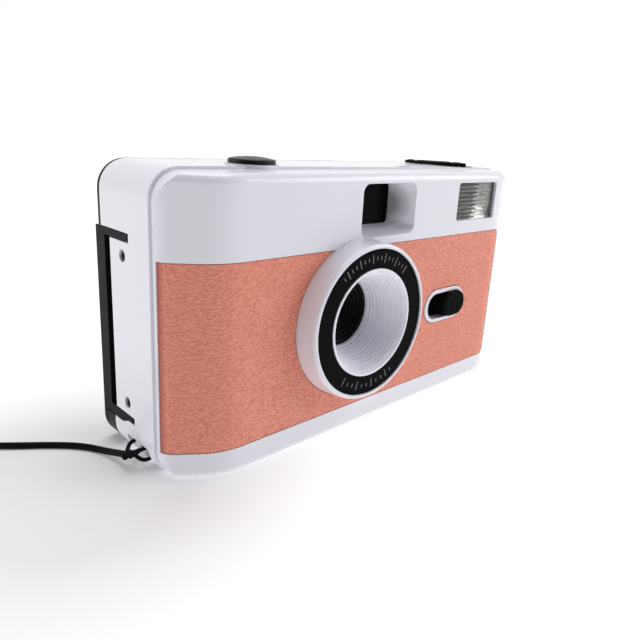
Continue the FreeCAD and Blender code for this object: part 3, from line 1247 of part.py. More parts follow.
def sprocket_shaft():
    """The shaft with two toothed wheels for the film's holes, and a thin pinion under the counter."""
    low = RELEASE_TOP + RELEASE_TRAVEL + MOVING_GAP
    shaft = cylinder_z(SPROCKET_X, SPROCKET_DEPTH, low, TOP_INSIDE - 3.6, SHAFT_RADIUS)
    pinion = cylinder_z(SPROCKET_X, SPROCKET_DEPTH, TOP_INSIDE - 3.7, TOP_INSIDE - 1.2, 0.55)
    parts = [shaft, pinion]
    for dz in (-PERFORATION_SPACING / 2, PERFORATION_SPACING / 2):
        z0 = LENS_Z + dz - 1.6
        parts.append(cylinder_z(SPROCKET_X, SPROCKET_DEPTH, z0, z0 + 3.2, SPROCKET_RADIUS))
        for i in range(SPROCKET_TEETH):
            angle = 360 * (i + 0.5) / SPROCKET_TEETH
            tooth = Part.makeCone(0.85, 0.4, 1.6, Vector(SPROCKET_RADIUS - 0.4, 0, z0 + 1.6), Vector(1, 0, 0))
            tooth.rotate(Vector(0, 0, 0), Vector(0, 0, 1), angle)
            tooth.translate(Vector(SPROCKET_X, SPROCKET_DEPTH, 0))
            parts.append(tooth)
    return join(parts)


def counter_dial():
    z0 = TOP_INSIDE - 2.3
    dial = toothed_disc(SPROCKET_X, CASSETTE_DEPTH, z0, z0 + DIAL_THICKNESS, DIAL_RADIUS, DIAL_TEETH, 0.25)
    return dial.cut(cylinder_z(SPROCKET_X, CASSETTE_DEPTH, z0 - 1, z0 + 2, 0.8 + RUNNING_GAP))


def counter_window():
    return cylinder_z(SPROCKET_X, COUNTER_WINDOW_DEPTH, TOP_INSIDE + 0.1, CASE_HEIGHT - 0.1, COUNTER_WINDOW_RADIUS)


def rewind_knob():
    """The flat disc sunk in the top, its two ears and pin for the crank, its shaft and its fork."""
    z0 = CASE_HEIGHT - KNOB_SUNK
    disc = cylinder_z(CASSETTE_X, CASSETTE_DEPTH, z0, z0 + KNOB_THICKNESS, KNOB_RADIUS)
    rim = [e for e in disc.Edges if e.BoundBox.ZMin > z0 + KNOB_THICKNESS - 0.01]
    disc = disc.makeFillet(0.3, rim)
    shaft = cylinder_z(CASSETTE_X, CASSETTE_DEPTH, CHAMBER_HIGH - 0.3, z0 + 0.2, REWIND_SHAFT_RADIUS)
    fork = cylinder_z(CASSETTE_X, CASSETTE_DEPTH, CHAMBER_HIGH - 2.4, CHAMBER_HIGH - 0.2, REWIND_SHAFT_RADIUS)
    x, y = CASSETTE_X, CASSETTE_DEPTH
    fork = fork.cut(box(x - 3, x + 3, y - 1.4, y + 1.4, CHAMBER_HIGH - 5, CHAMBER_HIGH - 0.3))
    ears = []
    pivot_x, pivot_z = crank_pivot()
    half = CRANK_WIDTH / 2
    for side in (-1, 1):
        middle = side * (half + 0.5)
        low = z0 + KNOB_THICKNESS - 0.1
        ear = box(pivot_x - 0.7, pivot_x + 0.7, middle - 0.35, middle + 0.35, low, pivot_z + 0.5)
        ears.append(place_crank(ear))
    pin = place_crank(cylinder_y(pivot_x, pivot_z, -half - 0.5, half + 0.5, 0.22))
    return join([disc, shaft, fork, pin] + ears)


def crank_pivot():
    return CRANK_PIVOT, CASE_HEIGHT - KNOB_SUNK + KNOB_THICKNESS + 0.2 + CRANK_THICKNESS / 2


def place_crank(shape):
    """Turn a shape that points along +X about the knob's own centre, and set it on the knob."""
    shape.rotate(Vector(0, 0, 0), Vector(0, 0, 1), CRANK_ANGLE)
    shape.translate(Vector(CASSETTE_X, CASSETTE_DEPTH, 0))
    return shape


def rewind_crank():
    """The folded lever: a hinge barrel at one end, a pointed finger end at the other."""
    pivot_x, pivot_z = crank_pivot()
    half = CRANK_WIDTH / 2
    low = pivot_z - CRANK_THICKNESS / 2
    neck = CRANK_REACH - 2.9
    outline = [(pivot_x, -half), (neck - 4, -half), (neck, -2.3), (CRANK_REACH, -0.9)]
    outline += [(CRANK_REACH, 0.9), (neck, 2.3), (neck - 4, half), (pivot_x, half)]
    plate = polygon_prism([Vector(x, y, low) for x, y in outline], Vector(0, 0, CRANK_THICKNESS))
    barrel = cylinder_y(pivot_x, pivot_z, -half, half, 0.52)
    plate = plate.cut(box(pivot_x - 1, pivot_x + 0.1, -half - 1, half + 1, low - 1, low + 2))
    ridges = []
    for x in (neck + 0.3, neck + 1.0, neck + 1.7):
        ridges.append(box(x, x + 0.3, -0.8, 0.8, low + 0.5, low + CRANK_THICKNESS + 0.25))
    ridges.append(box(0.6, neck - 0.8, -0.7, 0.7, low + 0.5, low + CRANK_THICKNESS + 0.2))
    lever = join([plate, barrel] + ridges)
    lever = lever.cut(cylinder_y(pivot_x, pivot_z, -half - 1, half + 1, 0.22 + 0.05))
    return place_crank(lever)


def rewind_release():
    stem = cylinder_z(SPROCKET_X, SPROCKET_DEPTH, 0.3, RELEASE_TOP, RELEASE_RADIUS)
    collar = cylinder_z(SPROCKET_X, SPROCKET_DEPTH, WALL + 0.05, WALL + 0.6, RELEASE_RADIUS + 0.8)
    return join([stem, collar])


def release_spring():
    top = CASSETTE_LOW - SHELF_THICKNESS - 0.05
    inner = RELEASE_RADIUS + 0.15
    return ring_z(SPROCKET_X, SPROCKET_DEPTH, WALL + 0.65, top, inner + 0.55, inner)


def screw(axis_point, direction, head_radius, head_height, length):
    """A small cross-head screw; the head's outer face is at axis_point and the shank runs along direction."""
    head = Part.makeCylinder(head_radius, head_height, axis_point, direction)
    shank = Part.makeCylinder(SCREW_SHANK_RADIUS, length, axis_point, direction)
    side = Vector(1, 0, 0) if abs(direction.x) < 0.5 else Vector(0, 1, 0)
    other = direction.cross(side)
    body = join([head, shank])
    for a, b in ((side, other), (other, side)):
        corners = [a * 0.8 + b * 0.16, a * -0.8 + b * 0.16, a * -0.8 + b * -0.16, a * 0.8 + b * -0.16]
        slot = polygon_prism([axis_point + c for c in corners], direction * 0.35)
        body = body.cut(slot)
    return body


def rear_screws():
    inward = Vector(0, -1, 0)
    screws = []
    for x in (-REAR_SCREW_X, REAR_SCREW_X):
        face = Vector(x, STRIP_REAR - 0.05, REAR_SCREW_Z)
        screws.append(screw(face, inward, SCREW_HEAD_RADIUS + 0.3, 0.42, 6.0))
    return screws


def base_screws():
    upward = Vector(0, 0, 1)
    screws = []
    for x in BASE_SCREW_XS:
        face = Vector(x, BASE_SCREW_DEPTH, 0.35)
        screws.append(screw(face, upward, SCREW_HEAD_RADIUS + 0.3, 0.7, 4.6))
    return screws


def ready_lamp():
    lamp = cylinder_y(LAMP_X, LAMP_Z, COVER_REAR - 1.5, STRIP_REAR + 0.4, LAMP_RADIUS)
    edges = [e for e in lamp.Edges if e.BoundBox.YMin > STRIP_REAR]
    return lamp.makeFillet(0.5, edges)


def route_wire(points):
    """Straight runs joined by tangent arcs; prints the arcs' radii."""
    corners = [Vector(*p) for p in points]
    edges = []
    radii = []
    last = corners[0]
    for before, corner, after in zip(corners, corners[1:], corners[2:]):
        back = before - corner
        ahead = after - corner
        half_turn = (math.pi - back.getAngle(ahead)) / 2
        reach = 0.45 * min(back.Length, ahead.Length)
        start = corner + back.normalize() * reach
        end = corner + ahead.normalize() * reach
        radius = reach / math.tan(half_turn)
        inward = (back + ahead).normalize()
        middle = corner + inward * (radius / math.cos(half_turn) - radius)
        edges.append(Part.LineSegment(last, start).toShape())
        edges.append(Part.Arc(start, middle, end).toShape())
        radii.append(round(radius, 1))
        last = end
    edges.append(Part.LineSegment(last, corners[-1]).toShape())
    print("arc radii", radii)
    return Part.Wire(edges)


def tube(wire, diameter):
    """One unbroken round tube along a wire; prints its volume beside section times length."""
    first = wire.Edges[0]
    start = first.valueAt(first.FirstParameter)
    circle = Part.Circle(start, first.tangentAt(first.FirstParameter), diameter / 2)
    solid = wire.makePipeShell([Part.Wire(circle.toShape())], True, False)
    expected = math.pi * diameter**2 / 4 * wire.Length
    print("length", round(wire.Length, 1), "volume", round(solid.Volume, 1), "expected", round(expected, 1))
    return solid


def lanyard_hitch():
    """The string round the lug's bridge, with the knot that holds it."""
    knot = Part.makeSphere(KNOT_RADIUS, Vector(*KNOT))
    return join([tube(route_wire(HITCH_ROUTE), STRING_DIAMETER), knot])


def lanyard_line():
    """The doubled string from the knot to where it lies coiled."""
    knot = Part.makeSphere(KNOT_RADIUS, Vector(*KNOT))
    return tube(route_wire(LINE_ROUTE), LINE_DIAMETER).cut(knot)


def coil_arcs():
    """The flat coil's arcs from the outside in: (centre, radius, start angle, turned angle)."""
    end, before = Vector(*LINE_ROUTE[-1]), Vector(*LINE_ROUTE[-2])
    heading = (end - before).normalize()
    side = Vector(-heading.y, heading.x, 0)
    arcs = []
    point = end
    inward = side
    radius = COIL_OUTER_RADIUS
    for i in range(COIL_HALF_TURNS):
        centre = point + inward * radius
        arcs.append((centre, radius, math.atan2(-inward.y, -inward.x), math.pi))
        point = centre + inward * radius
        inward = inward * -1
        radius -= COIL_PITCH / 2
    centre = point + inward * COIL_END_RADIUS
    arcs.append((centre, COIL_END_RADIUS, math.atan2(-inward.y, -inward.x), math.pi / 2))
    return arcs


def on_arc(arc, share):
    centre, radius, start, turn = arc
    angle = start + turn * share
    return Vector(centre.x + radius * math.cos(angle), centre.y + radius * math.sin(angle), centre.z)


def coil_gap():
    """The least gap of the coil to itself, measured on points along it."""
    points = [on_arc(arc, i / 36) for arc in coil_arcs() for i in range(36)]
    gaps = [a.distanceToPoint(b) for i, a in enumerate(points) for b in points[i + 20 :]]
    return min(gaps) - LINE_DIAMETER


def lanyard_coil():
    """The rest of the doubled string, put away in a flat coil."""
    edges = []
    for arc in coil_arcs():
        edges.append(Part.Arc(on_arc(arc, 0), on_arc(arc, 0.5), on_arc(arc, 1)).toShape())
    print("coil gap to itself", round(coil_gap(), 2))
    return tube(Part.Wire(edges), LINE_DIAMETER)


def lanyard_end():
    """The knot that ties the two ends of the string."""
    last = coil_arcs()[-1]
    end = on_arc(last, 1)
    ahead = (end - on_arc(last, 0.99)).normalize()
    middle = Vector(end.x, end.y, END_KNOT_RADIUS) + ahead * 0.9
    return Part.makeSphere(END_KNOT_RADIUS, middle).cut(lanyard_coil())


PIECES = {
    "front_cover": front_cover,
    "leatherette": leatherette,
    "chassis": chassis,
    "lens_ring": lens_ring,
    "lens_funnel": funnel,
    "lens_cell": lens_cell,
    "front_lens": front_lens,
    "shutter_plate": shutter_plate,
    "shutter_blade": shutter_blade,
    "shutter_spring": shutter_spring,
    "shutter_guard": shutter_guard,
    "shutter_button": shutter_button,
    "button_spring": button_spring,
    "release_lever": release_lever,
    "finder_window": finder_window,
    "finder_tube": finder_tube,
    "finder_eyepiece": eyepiece,
    "flash_window": flash_window,
    "flash_reflector": flash_reflector,
    "flash_tube": flash_tube,
    "flash_capacitor": capacitor,
    "ready_lamp": ready_lamp,
    "circuit_board": circuit_board,
    "switch_bezel": switch_bezel,
    "switch_base": switch_base,
    "switch_knob": switch_knob,
    "battery": battery,
    "battery_top_contact": top_contact,
    "battery_door": battery_door,
    "battery_door_contact": door_contact,
    "thumb_wheel": thumb_wheel,
    "takeup_spool": takeup_spool,
    "sprocket_shaft": sprocket_shaft,
    "counter_dial": counter_dial,
    "counter_window": counter_window,
    "rewind_knob": rewind_knob,
    "rewind_crank": rewind_crank,
    "rewind_release": rewind_release,
    "release_spring": release_spring,
    "back_door": back_door,
    "pressure_plate": pressure_plate,
    "pressure_spring": pressure_spring,
    "light_seal": light_seal,
    "door_latch": latch_knob,
    "latch_spring": latch_spring,
    "hinge_pins": hinge_pins,
    "side_screws": side_screws,
    "rear_screws": rear_screws,
    "base_screws": base_screws,
    "lanyard_hitch": lanyard_hitch,
    "lanyard_line": lanyard_line,
    "lanyard_coil": lanyard_coil,
    "lanyard_end": lanyard_end,
}

os.makedirs("parts", exist_ok=True)
for name, make in PIECES.items():
    made = make()
    piece = Part.makeCompound(made) if isinstance(made, list) else made
    piece.translate(Vector(0, ORIGIN_SHIFT, 0))
    piece.exportStep(f"parts/{name}.step")
    print(name, piece.isValid(), len(piece.Solids), round(piece.Volume, 1))
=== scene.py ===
import math

import bpy
from bpy.props import FloatProperty, FloatVectorProperty, IntProperty, PointerProperty
from mathutils import Matrix, Vector


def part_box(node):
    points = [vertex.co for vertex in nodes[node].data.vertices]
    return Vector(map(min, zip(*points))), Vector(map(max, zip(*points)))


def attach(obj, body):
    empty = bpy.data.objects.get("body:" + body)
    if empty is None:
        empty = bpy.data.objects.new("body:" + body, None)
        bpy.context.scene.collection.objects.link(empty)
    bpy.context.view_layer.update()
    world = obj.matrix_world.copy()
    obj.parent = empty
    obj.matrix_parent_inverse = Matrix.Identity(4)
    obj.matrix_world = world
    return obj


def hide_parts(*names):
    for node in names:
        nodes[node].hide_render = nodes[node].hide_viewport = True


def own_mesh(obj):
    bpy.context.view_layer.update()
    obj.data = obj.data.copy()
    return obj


bl_info = {
    "name": "Film Camera Finishes",
    "version": (1, 0, 0),
    "blender": (4, 5, 0),
    "location": "View3D > Sidebar > Film Camera",
    "description": "Finishes and fine pieces for a reusable 35 mm film camera",
    "category": "Object",
}

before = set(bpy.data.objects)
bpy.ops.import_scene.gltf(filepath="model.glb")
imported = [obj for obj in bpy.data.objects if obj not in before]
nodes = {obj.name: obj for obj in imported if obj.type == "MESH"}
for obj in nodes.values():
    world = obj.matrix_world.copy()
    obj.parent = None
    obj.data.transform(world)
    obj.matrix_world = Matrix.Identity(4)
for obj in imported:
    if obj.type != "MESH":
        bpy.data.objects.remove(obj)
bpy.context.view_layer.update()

# Places on the case, as the solids have them
LENS_AXIS = Vector((-0.0114, 0, 0.0288))
RING_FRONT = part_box("lens_ring")[0].y
DIAL_CENTRE = Vector((0.0155, 0.00255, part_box("counter_dial")[1].z))

# The viewpoint that was solved from the photograph, and each lamp's place, size in metres and watts
VIEW_PLACE = Vector((-0.111107, -0.104240, 0.071131))
VIEW_RIGHT = Vector((0.70369, -0.70771, 0.06302))
VIEW_UP = Vector((0.15227, 0.23685, 0.95954))
VIEW_LENS, VIEW_SENSOR = 33.55, 36
VIEW_SHIFT = (-0.0362, -0.0301)
LAMPS = {
    "Top softbox": ((0.05, 0.11, 0.88), 0.6, 4.1),
    "Left softbox": ((-0.75, 0.45, 0.32), 0.5, 2.1),
    "Right softbox": ((0.30, -0.24, 0.20), 0.25, 0.62),
}
LAMPS_AIM = Vector((0, 0, 0.03))

# How bright the room and the grey screen behind the viewer are, and which way the screen is
ROOM_LIGHT, SCREEN_LIGHT = 0.345, 0.10
SCREEN_WAY = (-0.66, -0.74, 0.12)
ROOM_WHITE, ROOM_COOL = (1, 1, 1), (0.86, 0.84, 1.0)
TABLE_WIDTH = 4.0

# The table shows its own shade near the case's left end, and further out glows white as painted light that
# hides the case's shadow
GLOW_MIDDLE = (-0.072, 0.004, 0)
GLOW_START, GLOW_END = 0.022, 0.066

# The viewfinder's recess: its top, how far its painted shade reaches from the window, and the shade's
# stretch
RECESS_TOP = 0.0606
RECESS_DARK, RECESS_CLEAR = 0.0036, 0.0072
RECESS_STRETCH = (0.42, 1.0, 1.1)

# The leatherette's face and its cut side, towards which painted shade darkens it, and how its painted
# highlight on the folds, its painted shade between them and its painted shade at the cut edges differ from
# its colour
LEATHER_FACE, LEATHER_SIDE = -0.0070, -0.0058
LEATHER_LIGHT_AND_SHADE_TONES = ((1.05, 1.12, 1.14), (0.74, 0.54, 0.52), (0.42, 0.24, 0.26))

# The flash: where the window's painted dark reflection on the left and its painted shade on the right start
# and end, its ribs, and the top of the reflector's part with painted glints
DARK_REFLECTION_START, DARK_REFLECTION_EDGE, RIGHT_SHADE_START = 0.0260, 0.0352, 0.0424
RIB_PITCH = 0.00055
GLINTS_TOP = 0.0520

# Marks on the lens ring: inner and outer radius, and each row's middle and span in degrees
LONG_MARK, SHORT_MARK = (0.01415, 0.01635), (0.0148, 0.0158)
UPPER_ROW, LOWER_ROW = (90, 82), (268, 64)
MARK_FOOT, MARK_HEIGHT = 0.00001, 0.000015
MARK_END_POINTS = 9

# Numbers and dots on the counter's dial, with the degrees from one frame to the next
LAST_FRAME, DIAL_STEP = 36, 9
NUMBERS_RADIUS, FIGURE_SIZE, DIAL_INK = 0.0046, 0.0017, 0.00001
DOT_RADIUS, DOT_SIDES = 0.00016, 10

# Lips on the back door: their sides, their cut corners, and where each one starts and ends
LIP_FRONT, LIP_REAR, LIP_FOOT, LIP_TOP = 0.01675, 0.01745, 0.0490, 0.0515
LIP_CORNER, LIP_SKEW = 0.0003, 0.0001
LIP_ENDS = ((-0.0539, -0.0338), (0.0079, 0.0231), (0.0312, 0.0527))

# Colours of the small parts
COATED, SHADED_CLEAR, EYEPIECE = (0.72, 0.76, 0.95), (0.10, 0.10, 0.13), (0.80, 0.84, 0.86)
FLASH_CLEAR, TUBE_GLASS, COUNTER_CLEAR = (0.93, 0.94, 0.90), (0.90, 0.93, 0.92), (0.85, 0.88, 0.88)
REFLECTOR, BOARD_GREEN, LAMP_RED = (0.93, 0.93, 0.90), (0.03, 0.14, 0.05), (0.85, 0.18, 0.06)
STEEL, LEAF_STEEL, WIRE = (0.50, 0.51, 0.52), (0.58, 0.58, 0.57), (0.60, 0.60, 0.61)
WRAP_GREY, NICKEL, DIAL_WHITE = (0.30, 0.32, 0.36), (0.70, 0.68, 0.64), (0.80, 0.80, 0.78)
OXIDE, PLATE_BLACK, SLEEVE = (0.018, 0.018, 0.02), (0.02, 0.02, 0.021), (0.02, 0.02, 0.03)
FOAM = INK_BLACK = (0.02, 0.02, 0.02)

# Which way the fine lines in metal run, and the points in one turn of a spring's wire
LINES_ACROSS, LINES_UP = (0.1, 1, 1), (1, 1, 0.1)
WIRE_POINTS = 20

# The lanyard: two loops round the lug's bar, and then the route that the solids follow
KNOT = (-0.0615, 0.00235, 0.0036)
UPPER_LOOP = [
    (-0.0613, 0.0021, 0.0031),
    (-0.0606, 0.0014, 0.0035),
    (-0.0592, 0.0005, 0.0051),
    (-0.0552, 0.0005, 0.0044),
    (-0.0552, 0.0048, 0.0044),
    (-0.0590, 0.0053, 0.0048),
    (-0.0606, 0.0042, 0.0042),
    (-0.0614, 0.0028, 0.0038),
]
LOWER_LOOP = [
    (-0.0614, 0.0022, 0.0040),
    (-0.0604, 0.0021, 0.0036),
    (-0.0592, 0.0010, 0.0021),
    (-0.0578, 0.0004, 0.0020),
    (-0.0554, 0.0005, 0.0032),
    (-0.0554, 0.0046, 0.0032),
    (-0.0584, 0.0046, 0.0022),
    (-0.0603, 0.0034, 0.0032),
    (-0.0614, 0.0026, 0.0036),
]
LINE = [
    KNOT,
    (-0.0616, 0.00655, 0.0021),
    (-0.0624, 0.01145, 0.00075),
    (-0.0652, 0.01625, 0.00075),
    (-0.0696, 0.02035, 0.00075),
    (-0.0746, 0.02405, 0.00075),
    (-0.0796, 0.02795, 0.00075),
    (-0.0842, 0.03165, 0.00075),
    (-0.0884, 0.03525, 0.00075),
]
COIL_RADIUS = 0.0103
COIL_STEP = 0.000975
COIL_HALF_TURNS = 5
COIL_LAST_RADIUS = 0.0046
COIL_POINTS = 10
LANYARD_WIDTH = 0.0015
KNOT_SIZE = 0.00085
KNOT_STEPS = 60
END_KNOT_SIZE, END_KNOT_HEIGHT, END_KNOT_AHEAD = 0.00105, 0.0011, 0.0006


class FilmCameraColours(bpy.types.PropertyGroup):
    """Colours of the film camera's finishes"""

    white: FloatVectorProperty(
        name="White plastic",
        description="Front cover, switch bezel and battery door",
        subtype="COLOR",
        min=0,
        max=1,
        default=(0.83, 0.82, 0.885),
    )
    coral: FloatVectorProperty(
        name="Leatherette",
        description="Main colour of the leatherette on the front",
        subtype="COLOR",
        min=0,
        max=1,
        default=(0.90, 0.310, 0.212),
    )
    black: FloatVectorProperty(
        name="Black plastic",
        description="Film body, back door, button and crank",
        subtype="COLOR",
        min=0,
        max=1,
        default=(0.0034, 0.0038, 0.0038),
    )
    ring: FloatVectorProperty(
        name="Lens ring",
        description="Flat ring round the lens funnel",
        subtype="COLOR",
        min=0,
        max=1,
        default=(0.0030, 0.0036, 0.0033),
    )
    marks: FloatVectorProperty(
        name="Ring marks",
        description="Printed marks on the lens ring",
        subtype="COLOR",
        min=0,
        max=1,
        default=(0.19, 0.20, 0.185),
    )
    string: FloatVectorProperty(
        name="Lanyard",
        description="Braided string of the wrist lanyard",
        subtype="COLOR",
        min=0,
        max=1,
        default=(0.003, 0.003, 0.0035),
    )
    floor: FloatVectorProperty(
        name="Floor",
        description="Table that the camera stands on",
        subtype="COLOR",
        min=0,
        max=1,
        default=(0.86, 0.86, 0.855),
    )


class FilmCameraSizes(bpy.types.PropertyGroup):
    """Sizes of the film camera's finishes and fine pieces"""

    grain: FloatProperty(
        name="Grain",
        description="Length of one fold in the leatherette's grain",
        unit="LENGTH",
        default=0.00052,
        min=0.0003,
        max=0.004,
    )
    grain_depth: FloatProperty(
        name="Grain depth",
        description="Depth of the folds in the leatherette",
        unit="LENGTH",
        default=0.00020,
        min=0,
        max=0.0005,
    )
    string: FloatProperty(
        name="String",
        description="Diameter of the lanyard's string",
        unit="LENGTH",
        default=0.00086,
        min=0.0004,
        max=0.0011,
    )
    lay: FloatProperty(
        name="Lay",
        description="Length in which the two strings lean over and back once",
        unit="LENGTH",
        default=0.030,
        min=0.006,
        max=0.2,
    )
    mark: FloatProperty(
        name="Ring mark",
        description="Width of one printed mark on the lens ring",
        unit="LENGTH",
        default=0.00026,
        min=0.0001,
        max=0.0008,
    )
    marks: IntProperty(
        name="Marks in the upper row",
        description="Number of marks above the lens",
        default=17,
        min=3,
        max=40,
    )


def colours():
    return bpy.context.scene.film_camera_colours


def sizes():
    return bpy.context.scene.film_camera_sizes


def put(tree, kind, sockets=None, **settings):
    """Add a shader node; each socket gets a value or another node's output."""
    node = tree.nodes.new("ShaderNode" + kind)
    for name, value in settings.items():
        setattr(node, name, value)
    for name, value in (sockets or {}).items():
        if isinstance(value, bpy.types.NodeSocket):
            tree.links.new(value, node.inputs[name])
        else:
            node.inputs[name].default_value = value
    return node


def opaque(colour, share=1.0):
    """A colour with its brightness changed, with the alpha that nodes want."""
    return (*[min(1.0, c * share) for c in colour], 1.0)


def mixed(tree, first, second, share):
    return put(tree, "Mix", {0: share, 6: first, 7: second}, data_type="RGBA").outputs[2]


def ranged(tree, value, low, high, start=0.0, end=1.0):
    """A value from start to end becomes one from low to high."""
    sockets = {"Value": value, "From Min": start, "From Max": end, "To Min": low, "To Max": high}
    return put(tree, "MapRange", sockets).outputs[0]


def maths(tree, operation, *values, **settings):
    """What a math node makes of those values."""
    return put(tree, "Math", dict(enumerate(values)), operation=operation, **settings).outputs[0]


def vector_maths(tree, operation, *values, result="Vector"):
    """What a vector math node makes of those values."""
    return put(tree, "VectorMath", dict(enumerate(values)), operation=operation).outputs[result]


def own_place(tree):
    """Each point's place in the camera's frame."""
    return put(tree, "TexCoord").outputs["Object"]


def part_of(tree, place, axis):
    """How far a place lies along X, Y or Z."""
    return put(tree, "SeparateXYZ", {0: place}).outputs[axis]


def scaled_place(tree, size, stretch=(1, 1, 1)):
    """The place counted in steps of that size in metres."""
    sockets = {"Vector": own_place(tree), "Scale": [s / size for s in stretch]}
    return put(tree, "Mapping", sockets).outputs[0]


def patches(tree, size, detail=2.0, stretch=(1, 1, 1)):
    """Soft random patches of about that size in metres, from 0 to 1."""
    place = scaled_place(tree, size, stretch)
    return put(tree, "TexNoise", {"Vector": place, "Scale": 1.0, "Detail": detail}).outputs[0]


def cells(tree, place, feature="F1", **sockets):
    """How far each point is from the middle of its cell, or from the cell's edge."""
    sockets.update(Vector=place, Scale=1.0)
    return put(tree, "TexVoronoi", sockets, feature=feature).outputs["Distance"]


def sharp_edges(tree, radius, full=0.9):
    """1 at a piece's sharp edges and 0 on its flat faces."""
    rounded = put(tree, "Bevel", {"Radius": radius}, samples=6).outputs[0]
    straight = put(tree, "NewGeometry").outputs["Normal"]
    same = vector_maths(tree, "DOT_PRODUCT", rounded, straight, result="Value")
    return ranged(tree, same, 0.0, 1.0, 0.995, full)


def start_finish(name):
    """A new material with its nodes and its main shader."""
    material = bpy.data.materials.new(name)
    material.use_nodes = True
    tree = material.node_tree
    return material, tree, tree.nodes["Principled BSDF"]


def surface(tree, shader, colour, roughness, height, depth, rounding=0.0):
    """Connect colour, roughness and a bump of that depth in metres to the shader."""
    tree.links.new(colour, shader.inputs["Base Color"])
    tree.links.new(roughness, shader.inputs["Roughness"])
    sockets = {"Height": height, "Distance": depth, "Strength": 1.0}
    if rounding:
        sockets["Normal"] = put(tree, "Bevel", {"Radius": rounding}, samples=4).outputs[0]
    bump = put(tree, "Bump", sockets).outputs[0]
    tree.links.new(bump, shader.inputs["Normal"])


def show_both(tree, share, first, second):
    """Make the surface a mix of two shaders."""
    both = put(tree, "MixShader", {0: share, 1: first, 2: second}).outputs[0]
    tree.links.new(both, tree.nodes["Material Output"].inputs["Surface"])


def let_light_in(tree, shader, bend):
    """Make a shader clear, and let lamps shine through it; bend is how far it turns light."""
    shader.inputs["Transmission Weight"].default_value = 1.0
    shader.inputs["IOR"].default_value = bend
    shadow = put(tree, "LightPath").outputs["Is Shadow Ray"]
    through = put(tree, "BsdfTransparent").outputs[0]
    show_both(tree, shadow, shader.outputs[0], through)


def moulded_plastic(
    name, colour, roughness, shine=0.5, grain=0.0004, depth=0.000006, wear=0.2, rounding=0.00015
):
    """Moulded plastic: slow changes of tone, a fine skin, and edges rubbed a little lighter."""
    material, tree, shader = start_finish(name)
    tone = mixed(tree, opaque(colour, 0.97), opaque(colour, 1.03), patches(tree, 0.03))
    rubbed = [min(1.0, c * 1.4 + 0.012) for c in colour]
    edges = maths(tree, "MULTIPLY", sharp_edges(tree, 0.00035), wear)
    tone = mixed(tree, tone, opaque(rubbed), edges)
    rough = ranged(tree, patches(tree, 0.009, 3.0), roughness * 0.88, roughness * 1.12, 0.25, 0.75)
    surface(tree, shader, tone, rough, patches(tree, grain, 3.0), depth, rounding)
    shader.inputs["Specular IOR Level"].default_value = shine
    return material


def leathercloth(name, colour, grain, depth):
    """Embossed leatherette: small folds that run across, with a painted highlight on them and painted shade
    between them, and painted shade at its cut edges.
    """
    material, tree, shader = start_finish(name)
    place = scaled_place(tree, grain, (0.72, 1.0, 1.35))
    stir = put(tree, "TexNoise", {"Vector": place, "Scale": 0.6, "Detail": 2.0}).outputs[1]
    stirred = put(tree, "VectorMath", {0: stir, "Scale": 2.4}, operation="SCALE").outputs[0]
    warped = vector_maths(tree, "ADD", place, stirred)
    hollows = cells(tree, warped, "SMOOTH_F1", Smoothness=0.35)
    pebbles = ranged(tree, hollows, 1.0, 0.0, 0.10, 0.72)
    fine = patches(tree, grain * 0.4, 2.0, (0.7, 1.0, 1.3))
    broad = patches(tree, grain * 5.0, 2.0, (0.7, 1.0, 1.5))
    height = maths(tree, "MULTIPLY", pebbles, 0.70)
    height = maths(tree, "MULTIPLY_ADD", fine, 0.30, height)
    folds = maths(tree, "MULTIPLY_ADD", broad, 0.16, hollows)
    # pale is a painted highlight on the folds, dark is painted shade between them, and cut is painted shade
    # at the edges.
    pale, dark, cut = [opaque([c * s for c, s in zip(colour, shares)]) for shares in LEATHER_LIGHT_AND_SHADE_TONES]
    tone = mixed(tree, pale, dark, ranged(tree, folds, 0.0, 0.75, 0.42, 0.84))
    tone = mixed(tree, tone, opaque(colour, 0.95), ranged(tree, patches(tree, 0.030), 0.0, 0.4, 0.35, 0.75))
    # Painted shade towards the cut side at the wrap's end and along the sharp edges.
    side = ranged(tree, part_of(tree, own_place(tree), "Y"), 0.0, 0.85, LEATHER_FACE, LEATHER_SIDE)
    edges = maths(tree, "MAXIMUM", side, sharp_edges(tree, 0.0003, 0.8))
    tone = mixed(tree, tone, cut, edges)
    surface(tree, shader, tone, ranged(tree, height, 0.62, 0.46), height, depth)
    shader.inputs["Specular IOR Level"].default_value = 0.4
    shader.inputs["Sheen Weight"].default_value = 0.08
    return material


def clear_plastic(name, tint, roughness, bend=1.49):
    """Clear moulded plastic or glass."""
    material, tree, shader = start_finish(name)
    tone = mixed(tree, opaque(tint, 0.96), opaque(tint, 1.02), patches(tree, 0.004))
    rough = ranged(tree, patches(tree, 0.002, 4.0), roughness * 0.7, roughness * 1.4)
    surface(tree, shader, tone, rough, patches(tree, 0.003), 0.000003)
    let_light_in(tree, shader, bend)
    return material


